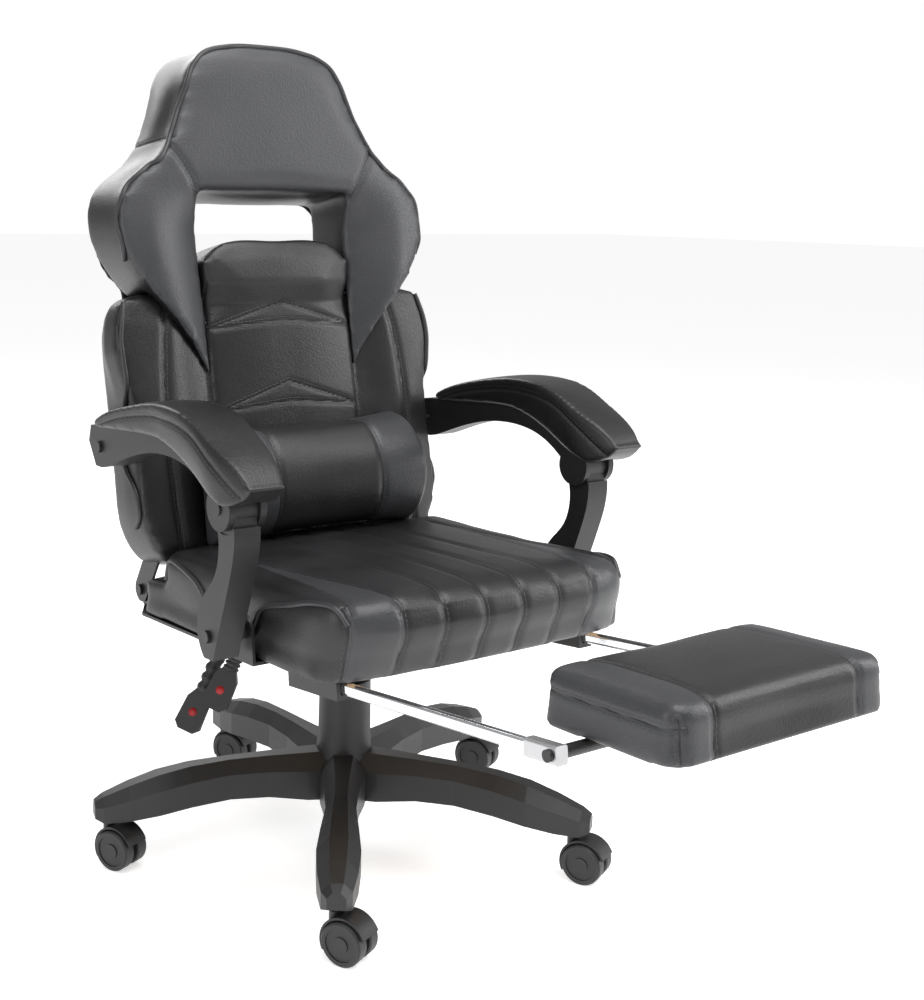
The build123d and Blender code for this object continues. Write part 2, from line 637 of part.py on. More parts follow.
# Outline of the bolsters and the lower back, in the back's front view.
with BuildSketch() as body_outline:
    with BuildLine():
        foot = Spline(
            (200, BACK_LOW), (248, BACK_LOW + 34), (BACK_HALF_WIDTH, BACK_LOW + 110), tangents=((1, 0), (0, 1))
        )
        shoulder = Spline(
            (BACK_HALF_WIDTH, BOLSTER_TOP - 130), (244, BOLSTER_TOP - 24), (190, BOLSTER_TOP),
            tangents=((0, 1), (-1, 0.05)),
        )
        Line(foot @ 1, shoulder @ 0)
        Polyline(shoulder @ 1, (0, BOLSTER_TOP), (0, BACK_LOW), foot @ 0)
    make_face()
    mirror(about=Plane.YZ)

# Outline of the arched middle panel.
with BuildSketch() as panel_outline:
    with BuildLine():
        Polyline(
            (-PANEL_HALF_WIDTH, PANEL_SHOULDER), (-PANEL_HALF_WIDTH, BACK_LOW + 20),
            (PANEL_HALF_WIDTH, BACK_LOW + 20), (PANEL_HALF_WIDTH, PANEL_SHOULDER),
        )
        Spline(
            (PANEL_HALF_WIDTH, PANEL_SHOULDER), (PANEL_HALF_WIDTH * 0.75, PANEL_TOP - 6), (0, PANEL_TOP),
            (-PANEL_HALF_WIDTH * 0.75, PANEL_TOP - 6), (-PANEL_HALF_WIDTH, PANEL_SHOULDER),
        )
    make_face()

# Outline of the wings and the headrest.
with BuildSketch() as head_outline:
    with BuildLine():
        flank = Spline(
            (WINDOW_HALF_WIDTH, WING_TIP_HEIGHT), (170, 380), (240, 465), (BACK_HALF_WIDTH, WING_HEIGHT),
            (248, 580), (207, 615), (NECK_HALF_WIDTH, NECK_HEIGHT), (144, 724), (126, 763), (HEAD_HALF_WIDTH, 785),
            (50, HEAD_TOP - 2), (0, HEAD_TOP), tangents=((0.45, 1), (-1, 0)),
        )
        Polyline(flank @ 0, (0, WING_TIP_HEIGHT), flank @ 1)
    make_face()
    mirror(about=Plane.YZ)


recliner_centre = BACK.to_local_coords(SEAT.from_local_coords((0, RECLINE_Y, RECLINE_Z)))
arm_bolt_centre = BACK.to_local_coords(SEAT.from_local_coords((0, *ARM_REAR_PIVOT)))

# The back's frame: one bent bar, two cross bars and a plate at each end of the lower one.
PLATE_X = RECLINER_X + STEEL + 1
CHEEK_RADIUS = RECLINER_RADIUS - 2

with BuildPart() as back_frame:
    with BuildLine(front_view(BACK, FRAME_DEPTH)):
        bend = FilletPolyline(
            (-FRAME_HALF_WIDTH, FRAME_LOW), (-FRAME_HALF_WIDTH, FRAME_TOP),
            (FRAME_HALF_WIDTH, FRAME_TOP), (FRAME_HALF_WIDTH, FRAME_LOW), radius=FRAME_BEND,
        )
    with BuildSketch(Plane(origin=bend @ 0, z_dir=bend % 0)):
        Circle(FRAME_ROD_RADIUS)
    sweep()
    for height, half_length in ((FRAME_CROSS_LOW, PLATE_X), (FRAME_CROSS_MIDDLE, FRAME_HALF_WIDTH)):
        with BuildSketch(side_view(BACK, -half_length)):
            with Locations((FRAME_DEPTH, height)):
                Circle(CROSS_ROD_RADIUS)
        extrude(amount=2 * half_length)
    for plane, thickness in ((side_view(BACK, PLATE_X), STEEL), (side_view(BACK, -PLATE_X), -STEEL)):
        with BuildSketch(plane):
            with BuildLine():
                base = CenterArc((recliner_centre.Y, recliner_centre.Z), CHEEK_RADIUS, -135, 180)
                head = CenterArc((FRAME_DEPTH, FRAME_CROSS_LOW), CHEEK_RADIUS, 45, 180)
                Line(base @ 1, head @ 0)
                Line(head @ 1, base @ 0)
            make_face()
            with Locations((recliner_centre.Y, recliner_centre.Z)):
                Circle(PIVOT_RADIUS + RUNNING_GAP, mode=Mode.SUBTRACT)
        extrude(amount=thickness)
write(back_frame, "back_frame")

with BuildPart() as rear_arm_bolts:
    with BuildSketch(side_view(SEAT, FRAME_HALF_WIDTH + FRAME_ROD_RADIUS)):
        with Locations(ARM_REAR_PIVOT):
            Circle(PIVOT_RADIUS)
    extrude(amount=BOLT_END - FRAME_HALF_WIDTH - FRAME_ROD_RADIUS)
    with BuildSketch(side_view(SEAT, ARM_X + ARM_WIDTH / 2 + CLEARANCE)):
        with Locations(ARM_REAR_PIVOT):
            Circle(1.6 * PIVOT_RADIUS)
    extrude(amount=BOLT_HEAD_HEIGHT)
    mirror(about=Plane.YZ)
write(rear_arm_bolts, "rear_arm_bolts")


def cut_for_frame():
    """Hollow the foam where the tube frame and the arm bolts run."""
    add(back_frame.part, mode=Mode.SUBTRACT)
    add(rear_arm_bolts.part, mode=Mode.SUBTRACT)


with BuildPart() as back_cushion:
    with BuildSketch(front_view(BACK, BACK_THICKNESS)):
        add(body_outline.sketch)
    extrude(amount=BACK_THICKNESS - BOLSTER_SETBACK)
    with BuildSketch(front_view(BACK, PANEL_THICKNESS)):
        add(panel_outline.sketch)
    extrude(amount=PANEL_THICKNESS)
    cut_for_frame()
write(back_cushion, "back_cushion")

with BuildPart() as headrest_cushion:
    with BuildSketch(front_view(BACK, BOLSTER_SETBACK - 2)):
        add(head_outline.sketch)
    extrude(amount=WING_PROUD + WING_LAP)
    with BuildSketch(front_view(BACK, BOLSTER_SETBACK - 2)):
        add(head_outline.sketch)
    extrude(amount=BACK_THICKNESS - BOLSTER_SETBACK + 2, dir=BACK.y_dir + BACK.z_dir * HEAD_SHEAR)
    with BuildSketch(front_view(BACK, BACK_THICKNESS + 1)):
        with Locations((0, BOLSTER_TOP - 200 + 2)):
            Rectangle(3 * BACK_HALF_WIDTH, 400)
    extrude(amount=BACK_THICKNESS + 1 - BOLSTER_SETBACK + 1.5, mode=Mode.SUBTRACT)
    with BuildSketch(front_view(BACK, BACK_THICKNESS + 1)):
        with Locations((0, WINDOW_TOP - 200)):
            Rectangle(2 * WINDOW_HALF_WIDTH, 400)
    extrude(amount=2 * BACK_THICKNESS, mode=Mode.SUBTRACT)
    cut_for_frame()
write(headrest_cushion, "headrest_cushion")

with BuildPart() as back_cover:
    with BuildSketch(front_view(BACK, BACK_THICKNESS + COVER_THICKNESS)):
        add(body_outline.sketch)
    extrude(amount=COVER_THICKNESS)
    with BuildSketch(front_view(BACK, BACK_THICKNESS + COVER_THICKNESS)):
        add(head_outline.sketch)
    extrude(amount=COVER_THICKNESS)
    with BuildSketch(front_view(BACK, BACK_THICKNESS + COVER_THICKNESS)):
        with Locations((0, (WINDOW_TOP + PANEL_TOP) / 2)):
            Rectangle(2 * WINDOW_HALF_WIDTH, WINDOW_TOP - PANEL_TOP)
    extrude(amount=COVER_THICKNESS, mode=Mode.SUBTRACT)
write(back_cover, "back_cover")

with BuildPart() as lumbar_pillow:
    with BuildSketch(side_view(BACK, -PILLOW_HALF_WIDTH)):
        with BuildLine():
            Spline(
                (-CLEARANCE, PILLOW_HIGH), (-PILLOW_THICKNESS * 0.62, PILLOW_HIGH - 22),
                (-PILLOW_THICKNESS, (PILLOW_LOW + PILLOW_HIGH) / 2), (-PILLOW_THICKNESS * 0.62, PILLOW_LOW + 18),
                (-CLEARANCE, PILLOW_LOW),
            )
            Line((-CLEARANCE, PILLOW_HIGH), (-CLEARANCE, PILLOW_LOW))
        make_face()
    extrude(amount=2 * PILLOW_HALF_WIDTH)
write(lumbar_pillow, "lumbar_pillow")

# ---------------------------------------------------------------- arms

ARM_OUTER = ARM_X + ARM_WIDTH / 2
ARM_INNER = ARM_X - ARM_WIDTH / 2


def arm_top_line():
    """The line where the arm's frame meets its pad, from the rear to the front."""
    return Spline(
        (146, 271), (103, 272), (0, 276), (-60, 273), (-110, 258), (-150, 238), (-205, 205),
        tangents=((-1, 0), (-0.85, -0.52)),
    )


with BuildPart() as arm_frame:
    with BuildSketch(side_view(SEAT, ARM_INNER)):
        with BuildLine():
            top = arm_top_line()
            Polyline(top @ 0, (176, 268), (184, 246), (164, 213), (146, 212))
            under = Spline(
                (146, 212), (105, 222), (20, 244), (-57, 247), (-115, 232), (-168, 190),
                tangents=((-1, 0.1), (-0.6, -0.8)),
            )
            Line(under @ 1, top @ 1)
        make_face()
        with Locations(ARM_FRONT_PIVOT):
            Circle(ARM_DISC_RADIUS)
    extrude(amount=ARM_WIDTH)
    with BuildSketch(side_view(SEAT, ARM_X - POST_EYE_WIDTH / 2 - CLEARANCE)):
        with Locations(ARM_FRONT_PIVOT):
            Circle(ARM_DISC_RADIUS)
        with BuildLine():
            Polyline(
                ARM_FRONT_PIVOT, (ARM_FRONT_PIVOT[0] + 22, ARM_FRONT_PIVOT[1] - 40),
                (ARM_FRONT_PIVOT[0] - 40, ARM_FRONT_PIVOT[1] - 40), (ARM_FRONT_PIVOT[0] - 40, ARM_FRONT_PIVOT[1]),
                close=True,
            )
        make_face()
    extrude(amount=POST_EYE_WIDTH + 2 * CLEARANCE, mode=Mode.SUBTRACT)
    for face in (ARM_X + POST_EYE_WIDTH / 2 + CLEARANCE, ARM_X - POST_EYE_WIDTH / 2 - CLEARANCE - ARM_DISC_THICKNESS):
        with BuildSketch(side_view(SEAT, face)):
            with Locations(ARM_FRONT_PIVOT):
                Circle(ARM_DISC_RADIUS)
        extrude(amount=ARM_DISC_THICKNESS)
    with BuildSketch(side_view(SEAT, ARM_X)):
        with Locations(ARM_FRONT_PIVOT):
            Circle(PIVOT_RADIUS)
    extrude(amount=ARM_WIDTH, both=True, mode=Mode.SUBTRACT)
    with BuildSketch(side_view(SEAT, ARM_X)):
        with Locations(ARM_REAR_PIVOT):
            Circle(PIVOT_RADIUS + RUNNING_GAP)
    extrude(amount=ARM_WIDTH, both=True, mode=Mode.SUBTRACT)
write_pair(arm_frame, "arm_frame")

with BuildPart() as arm_pad:
    with BuildSketch(side_view(SEAT, ARM_X - ARM_PAD_WIDTH / 2 + 4)):
        with BuildLine():
            seam = arm_top_line()
            crown = Spline(
                (124, 278), (100, 288), (27, 304), (-60, 314), (-140, 305), (-200, 275), (-255, 238), (-262, 222),
                (-240, 204), (-205, 205),
            )
            Line(seam @ 0, crown @ 0)
        make_face()
    extrude(amount=ARM_PAD_WIDTH)
    add(arm_frame.part, mode=Mode.SUBTRACT)
    with BuildSketch(side_view(SEAT, ARM_INNER)):
        with Locations(ARM_FRONT_PIVOT):
            Circle(ARM_DISC_RADIUS + POST_CLEARANCE)
        with BuildLine():
            Polyline(
                ARM_FRONT_PIVOT, (ARM_FRONT_PIVOT[0] - 26, ARM_FRONT_PIVOT[1] + 17),
                (ARM_FRONT_PIVOT[0] - 62, ARM_FRONT_PIVOT[1] - 16), (ARM_FRONT_PIVOT[0], ARM_FRONT_PIVOT[1] - 16),
                close=True,
            )
        make_face()
    extrude(amount=ARM_WIDTH, mode=Mode.SUBTRACT)
    with BuildSketch(side_view(SEAT, ARM_X - ARM_PAD_WIDTH)):
        with Locations((170, 300)):
            Rectangle(2 * 50, 100)
    extrude(amount=2 * ARM_PAD_WIDTH, mode=Mode.SUBTRACT)
write_pair(arm_pad, "arm_pad")

with BuildPart() as arm_pin:
    with BuildSketch(side_view(SEAT, ARM_X)):
        with Locations(ARM_FRONT_PIVOT):
            Circle(PIVOT_RADIUS)
    extrude(amount=POST_EYE_WIDTH / 2 + CLEARANCE + ARM_DISC_THICKNESS, both=True)
    with BuildSketch(side_view(SEAT, ARM_X + POST_EYE_WIDTH / 2 + CLEARANCE + ARM_DISC_THICKNESS)):
        with Locations(ARM_FRONT_PIVOT):
            Circle(1.5 * PIVOT_RADIUS)
    extrude(amount=2)
write_pair(arm_pin, "arm_pivot_pin")

with BuildPart() as arm_post:
    with BuildSketch(side_view(SEAT, ARM_INNER)):
        with BuildLine():
            rear = Spline((-163, 188), (-170, 150), (-157, 113), (-126, 81), (-113, 48), (-128, 8))
            front = Spline((-206, 188), (-205, 150), (-190, 106), (-172, 63), (-150, 8))
            Line(rear @ 0, front @ 0)
            Line(rear @ 1, front @ 1)
        make_face()
    extrude(amount=ARM_WIDTH)
    with BuildSketch(side_view(SEAT, ARM_INNER)):
        with Locations(ARM_FRONT_PIVOT):
            Circle(ARM_DISC_RADIUS + POST_CLEARANCE)
    extrude(amount=ARM_WIDTH, mode=Mode.SUBTRACT)
    with BuildSketch(side_view(SEAT, ARM_X - POST_EYE_WIDTH / 2)):
        with Locations(ARM_FRONT_PIVOT):
            Circle(POST_EYE_RADIUS)
        with BuildLine():
            Polyline((-203, 195), (-203, 165), (-168, 165), (-165, 195), close=True)
        make_face()
    extrude(amount=POST_EYE_WIDTH)
    with BuildSketch(side_view(SEAT, ARM_X)):
        with Locations(ARM_FRONT_PIVOT):
            Circle(PIVOT_RADIUS + FRONT_PIVOT_SLACK)
    extrude(amount=ARM_WIDTH, both=True, mode=Mode.SUBTRACT)
    with BuildSketch(side_view(SEAT, ARM_X)):
        with Locations(POST_PIVOT):
            Circle(PIVOT_RADIUS + RUNNING_GAP)
    extrude(amount=ARM_WIDTH, both=True, mode=Mode.SUBTRACT)
write_pair(arm_post, "arm_post")

# ---------------------------------------------------------------- footrest


def rail_section(spare):
    with Locations((RAIL_X, 0)):
        RectangleRounded(RAIL_WIDTH + 2 * spare, RAIL_HEIGHT + 2 * spare, (RAIL_WIDTH + 2 * spare) * 0.45)


with BuildPart() as rail:
    with BuildSketch(front_view(RAILS, RAIL_ENGAGED)):
        rail_section(0)
        with Locations((RAIL_X, 0)):
            inner_width = RAIL_WIDTH - 2 * RAIL_WALL
            RectangleRounded(inner_width, RAIL_HEIGHT - 2 * RAIL_WALL, inner_width * 0.4, mode=Mode.SUBTRACT)
    extrude(amount=RAIL_LENGTH)
write_pair(rail, "footrest_rail")

with BuildPart() as rail_guide:
    with BuildSketch(front_view(RAILS, GUIDE_LENGTH)):
        with Locations((RAIL_X, 4)):
            Rectangle(RAIL_WIDTH + 2 * GUIDE_WALL, RAIL_HEIGHT + 2 * GUIDE_WALL + 8)
        with Locations((RAIL_X, 0)):
            RectangleRounded(RAIL_WIDTH + 2 * CLEARANCE, RAIL_HEIGHT + 2 * CLEARANCE, 3, mode=Mode.SUBTRACT)
    extrude(amount=GUIDE_LENGTH)
    split(bisect_by=SEAT, keep=Keep.BOTTOM)
write_pair(rail_guide, "rail_guide")

with BuildPart() as rail_end:
    with BuildSketch(front_view(RAILS, FOOT_PIVOT_Y - 9 + RAIL_END_LENGTH)):
        with Locations((RAIL_X, 0)):
            RectangleRounded(RAIL_END_WIDTH, RAIL_END_HEIGHT, 3)
    extrude(amount=RAIL_END_LENGTH)
    with BuildSketch(front_view(RAILS, RAIL_ENGAGED)):
        rail_section(0)
    extrude(amount=RAIL_LENGTH, mode=Mode.SUBTRACT)
    with BuildSketch(side_view(RAILS, RAIL_X)):
        with Locations((FOOT_PIVOT_Y, 0)):
            Circle(FOOT_PIN_RADIUS + RUNNING_GAP)
    extrude(amount=RAIL_END_WIDTH, both=True, mode=Mode.SUBTRACT)
write_pair(rail_end, "rail_end")

BRACKET_X = PAD_HALF_WIDTH - 35

with BuildPart() as footrest_bar:
    with BuildSketch(side_view(PAD, 0)):
        Circle(FOOT_BAR_RADIUS)
    extrude(amount=RAIL_X - RAIL_END_WIDTH / 2 - 1, both=True)
    with BuildSketch(side_view(PAD, 0)):
        Circle(FOOT_PIN_RADIUS)
    extrude(amount=RAIL_X + RAIL_END_WIDTH / 2 + 1, both=True)
    for side in (1, -1):
        with BuildSketch(side_view(PAD, side * (RAIL_X + RAIL_END_WIDTH / 2 + 1))):
            Circle(1.6 * FOOT_PIN_RADIUS)
        extrude(amount=3 * side)
    with BuildSketch(PAD.offset(PAD_LOW)):
        with Locations((BRACKET_X, 0), (-BRACKET_X, 0)):
            Rectangle(30, 46)
    extrude(amount=-3)
write(footrest_bar, "footrest_bar")


def pad_board_outline():
    with Locations((0, (PAD_FRONT + PAD_REAR) / 2)):
        RectangleRounded(
            2 * (PAD_HALF_WIDTH - PAD_BOARD_MARGIN), PAD_REAR - PAD_FRONT - 2 * PAD_BOARD_MARGIN, PAD_CORNER_RADIUS / 2
        )


with BuildPart() as footrest_board:
    with BuildSketch(PAD.offset(PAD_LOW)):
        pad_board_outline()
    extrude(amount=PAD_BOARD_THICKNESS)
write(footrest_board, "footrest_board")

with BuildPart() as footrest_cushion:
    with BuildSketch(PAD.offset(PAD_LOW)):
        with Locations((0, (PAD_FRONT + PAD_REAR) / 2)):
            RectangleRounded(2 * PAD_HALF_WIDTH, PAD_REAR - PAD_FRONT, PAD_CORNER_RADIUS)
    extrude(amount=PAD_HIGH - PAD_LOW)
    fillet(footrest_cushion.faces().sort_by(Axis(PAD.origin, PAD.z_dir))[-1].edges(), radius=PAD_EDGE_RADIUS)
    with BuildSketch(PAD.offset(PAD_LOW)):
        pad_board_outline()
    extrude(amount=PAD_BOARD_THICKNESS, mode=Mode.SUBTRACT)
write(footrest_cushion, "footrest_cushion")
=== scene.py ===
# %% [markdown]
# # A reclining gaming chair
# The chair is a finished set of named parts on moving bodies. This file dresses it: leather over foam,
# piping, moulded nylon, chrome and powder-coated steel. The bodies come first, because every new piece rides
# on one of them.

import json
import math

import bmesh
import bpy
import numpy as np
from mathutils import Matrix, Vector
from mathutils.bvhtree import BVHTree


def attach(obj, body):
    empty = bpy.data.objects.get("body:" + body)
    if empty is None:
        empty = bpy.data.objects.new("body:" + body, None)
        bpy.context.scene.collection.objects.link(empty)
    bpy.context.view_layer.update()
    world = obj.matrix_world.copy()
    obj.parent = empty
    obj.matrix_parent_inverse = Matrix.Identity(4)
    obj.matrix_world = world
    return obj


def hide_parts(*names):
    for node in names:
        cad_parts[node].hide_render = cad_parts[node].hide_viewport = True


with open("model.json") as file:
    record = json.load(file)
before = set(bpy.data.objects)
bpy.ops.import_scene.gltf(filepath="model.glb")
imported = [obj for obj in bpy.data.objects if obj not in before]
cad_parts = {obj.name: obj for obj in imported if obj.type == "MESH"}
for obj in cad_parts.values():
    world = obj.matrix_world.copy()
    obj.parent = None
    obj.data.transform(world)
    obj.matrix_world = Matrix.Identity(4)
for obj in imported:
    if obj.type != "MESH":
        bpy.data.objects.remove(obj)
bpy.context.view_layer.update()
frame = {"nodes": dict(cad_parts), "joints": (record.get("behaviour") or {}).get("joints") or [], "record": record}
record = frame["record"]
joint_at = {j["name"]: Vector(j["pos_m"]) for j in frame["joints"] if "pos_m" in j}
mounts = {m["name"]: m for m in record["mounts"]}

# %% [markdown]
# ## Working places
# The seat is raked, the back leans from the seat, and the footrest has its own pivot. Working in each one's
# own directions keeps every outline simple: x across, y to the rear, z up. A place is a matrix, and a view
# turns it so that a flat outline can be drawn in its first two axes and given thickness along the third.

# %% Places and views
SEAT_THICKNESS = 0.090
SEAT_TOP_SPOT = -0.100
BACK_FOOT = (0.0, 0.0905, 0.012)
BACK_LEAN = math.radians(9)


def place(origin, up):
    """Matrix of a place at origin, with x across the chair and z along up."""
    up = Vector(up).normalized()
    across = Vector((1, 0, 0))
    rear = up.cross(across)
    turn = Matrix((across, rear, up)).transposed()
    return Matrix.Translation(origin) @ turn.to_4x4()


seat_up = Vector(mounts["seat_top"]["axis"]).normalized()
seat_rear = seat_up.cross(Vector((1, 0, 0)))
seat_foot = Vector(mounts["seat_top"]["pos_m"]) - seat_up * SEAT_THICKNESS - seat_rear * SEAT_TOP_SPOT
SEAT = place(seat_foot, seat_up)
back_up = seat_up * math.cos(BACK_LEAN) + seat_rear * math.sin(BACK_LEAN)
BACK = place(SEAT @ Vector(BACK_FOOT), back_up)
PAD = place(joint_at["footrest_flip"], mounts["footrest_top"]["axis"])

TOP_VIEW = Matrix.Identity(4)
FRONT_VIEW = Matrix(((1, 0, 0, 0), (0, 0, -1, 0), (0, 1, 0, 0), (0, 0, 0, 1)))
SIDE_VIEW = Matrix(((0, 0, 1, 0), (1, 0, 0, 0), (0, 1, 0, 0), (0, 0, 0, 1)))


def from_side(side):
    """The view of the left side, at 1, or of the right side, at -1."""
    return SIDE_VIEW @ Matrix.Diagonal((1, 1, side, 1))


print("seat foot", [round(c, 4) for c in seat_foot])

# %% [markdown]
# ## Camera, floor and light
# The camera stands a little above the arms, in front of the sitter's right hand, with a normal lens. A pale
# floor that runs out to a pale world keeps the outline of a black chair clear. Black leather shows its form
# only through reflections, so the lights are large panels: one over the front, one at each side.

# %% Camera
CAMERA_AZIMUTH = math.radians(-34.33)
CAMERA_HEIGHT = math.radians(9.59)
CAMERA_ROLL = math.radians(0.96)
CAMERA_SPOT = Vector((-1.129, -1.604, 0.9105))
column = joint_at["seat_swivel"].copy()
column.z = 0

camera_data = bpy.data.cameras.new("camera")
camera_data.lens = 51.77
camera_data.sensor_width = 36
camera_data.shift_x = 0.1323
camera_data.shift_y = -0.0584
camera = bpy.data.objects.new("camera", camera_data)
bpy.context.scene.collection.objects.link(camera)
level_right = Vector((math.cos(CAMERA_AZIMUTH), math.sin(CAMERA_AZIMUTH), 0))
behind = Vector(
    (
        math.sin(CAMERA_AZIMUTH) * math.cos(CAMERA_HEIGHT),
        -math.cos(CAMERA_AZIMUTH) * math.cos(CAMERA_HEIGHT),
        math.sin(CAMERA_HEIGHT),
    )
)
level_up = behind.cross(level_right)
right = level_right * math.cos(CAMERA_ROLL) + level_up * math.sin(CAMERA_ROLL)
up = level_up * math.cos(CAMERA_ROLL) - level_right * math.sin(CAMERA_ROLL)
camera_turn = Matrix((right, up, behind)).transposed().to_4x4()
camera.matrix_world = Matrix.Translation(column + CAMERA_SPOT) @ camera_turn
bpy.context.scene.camera = camera

# %% Floor, world and lights
floor_bm = bmesh.new()
bmesh.ops.create_grid(floor_bm, x_segments=1, y_segments=1, size=30)
floor_mesh = bpy.data.meshes.new("floor")
floor_bm.to_mesh(floor_mesh)
floor_bm.free()
floor = bpy.data.objects.new("floor", floor_mesh)
bpy.context.scene.collection.objects.link(floor)
floor_paint = bpy.data.materials.new("floor_paint")
floor_paint.use_nodes = True
floor_shader = floor_paint.node_tree.nodes["Principled BSDF"]
floor_shader.inputs["Base Color"].default_value = (0.93, 0.93, 0.93, 1)
floor_shader.inputs["Roughness"].default_value = 0.8
floor_shader.inputs["Emission Color"].default_value = (1, 1, 1, 1)
floor_shader.inputs["Emission Strength"].default_value = 0.55
floor_mesh.materials.append(floor_paint)

# The plain transform keeps the black leather black and the floor near white, and the world is brighter
# where the camera sees it than where it lights the chair.
bpy.context.scene.view_settings.view_transform = "Standard"
world = bpy.data.worlds.new("studio")
bpy.context.scene.world = world
world.use_nodes = True
surroundings = world.node_tree.nodes["Background"]
surroundings.inputs["Color"].default_value = (1, 1, 1, 1)
surroundings.inputs["Strength"].default_value = 0.42
backdrop = world.node_tree.nodes.new("ShaderNodeBackground")
backdrop.inputs["Color"].default_value = (1, 1, 1, 1)
backdrop.inputs["Strength"].default_value = 1.0
seen_directly = world.node_tree.nodes.new("ShaderNodeLightPath")
either = world.node_tree.nodes.new("ShaderNodeMixShader")
world.node_tree.links.new(seen_directly.outputs["Is Camera Ray"], either.inputs[0])
world.node_tree.links.new(surroundings.outputs[0], either.inputs[1])
world.node_tree.links.new(backdrop.outputs[0], either.inputs[2])
world.node_tree.links.new(either.outputs[0], world.node_tree.nodes["World Output"].inputs["Surface"])


def light_panel(name, spot, aim, size, power):
    """A square soft light at spot, turned to aim."""
    data = bpy.data.lights.new(name, "AREA")
    data.shape = "RECTANGLE"
    data.size, data.size_y = size
    data.energy = power
    lamp = bpy.data.objects.new(name, data)
    lamp.location = spot
    lamp.rotation_euler = (Vector(aim) - Vector(spot)).to_track_quat("-Z", "Y").to_euler()
    bpy.context.scene.collection.objects.link(lamp)


light_panel("light_top", (0.2, -0.9, 3.4), (0, 0, 0.5), (2.6, 2.2), 95)
light_panel("light_left", (-3.2, -0.6, 1.8), (0, 0, 0.6), (1.0, 2.4), 26)
light_panel("light_right", (2.8, -1.6, 1.9), (0, 0, 0.6), (1.0, 2.4), 55)
light_panel("light_back", (0.4, 3.0, 2.2), (0, 0, 0.6), (2.4, 1.2), 40)

# %% [markdown]
# ## Shader arithmetic
# A material's detail is arithmetic on coordinates. Writing it as Python expressions reads better than lists
# of nodes and links, so one small class wraps a socket: each operator adds the Math node that does it.


# %% Sockets with operators
class Value:
    """A socket in a material, with arithmetic."""

    def __init__(self, paint, socket):
        self.paint, self.socket = paint, socket

    def math(self, operation, *others):
        values = {i: v for i, v in enumerate((self, *others))}
        return self.paint.node("ShaderNodeMath", {"operation": operation}, values)

    def __add__(self, other):
        return self.math("ADD", other)

    __radd__ = __add__

    def __mul__(self, other):
        return self.math("MULTIPLY", other)

    __rmul__ = __mul__

    def __sub__(self, other):
        return self.math("SUBTRACT", other)

    def __rsub__(self, other):
        return self.paint.node("ShaderNodeMath", {"operation": "SUBTRACT"}, {0: other, 1: self})

    def __truediv__(self, other):
        return self.math("DIVIDE", other)

    def band(self, low, high):
        """0 below low, 1 above high and a smooth step between."""
        settings = {"interpolation_type": "SMOOTHSTEP"}
        return self.paint.node("ShaderNodeMapRange", settings, {0: self, 1: low, 2: high, 3: 0.0, 4: 1.0})


class Paint:
    """A material under construction."""

    def __init__(self, name):
        self.material = bpy.data.materials.new(name)
        self.material.use_nodes = True
        self.tree = self.material.node_tree
        self.shader = self.tree.nodes["Principled BSDF"]

    def node(self, kind, settings=None, inputs=None, output=0):
        made = self.tree.nodes.new(kind)
        for key, value in (settings or {}).items():
            setattr(made, key, value)
        for key, value in (inputs or {}).items():
            if isinstance(value, Value):
                self.tree.links.new(value.socket, made.inputs[key])
            else:
                made.inputs[key].default_value = value
        return Value(self, made.outputs[output])

    def object_coordinates(self):
        return self.node("ShaderNodeTexCoord", output="Object")

    def attribute(self, name):
        return self.node("ShaderNodeAttribute", {"attribute_name": name}, output="Fac")

    def noise(self, where, scale, detail=2.0, roughness=0.5):
        inputs = {"Vector": where, "Scale": scale, "Detail": detail, "Roughness": roughness}
        return self.node("ShaderNodeTexNoise", None, inputs, output="Fac")

    def cells(self, where, scale, feature="F1"):
        inputs = {"Vector": where, "Scale": scale}
        return self.node("ShaderNodeTexVoronoi", {"feature": feature}, inputs, output="Distance")

    def mix(self, share, first, second):
        """Colour that goes from first to second as share goes from 0 to 1."""
        return self.node("ShaderNodeMix", {"data_type": "RGBA"}, {0: share, 6: first, 7: second}, output=2)

    def bump(self, height, distance, strength=1.0, normal=None):
        inputs = {"Height": height, "Distance": distance, "Strength": strength}
        if normal is not None:
            inputs["Normal"] = normal
        return self.node("ShaderNodeBump", None, inputs)

    def set(self, **sockets):
        """Set or link the shader's sockets; underscores in the names stand for spaces."""
        for key, value in sockets.items():
            socket = self.shader.inputs[key.replace("_", " ")]
            if isinstance(value, Value):
                self.tree.links.new(value.socket, socket)
            else:
                socket.default_value = value
        return self.material


# %% [markdown]
# ## Synthetic leather
# Coated fabric with a pressed grain: small uneven cells with creases between them, a satin finish, and a
# thin lacquer that catches the light. A seamed panel shows three more things: painted shade in the crease
# where the panels meet, a row of stitches beside it, and a paler grey on some panels. They are read from
# attributes that each cushion stores on its points: `near` is how close a seam is, `along` is how far along
# it, and `tone` is above 0 on the paler panels. A distance is a smooth number, so its threshold stays sharp on a
# coarse mesh.

# %% Leather
SEAM_REACH = 0.020
BLACK = (0.0062, 0.0062, 0.0068, 1)
GREY = (0.033, 0.034, 0.037, 1)


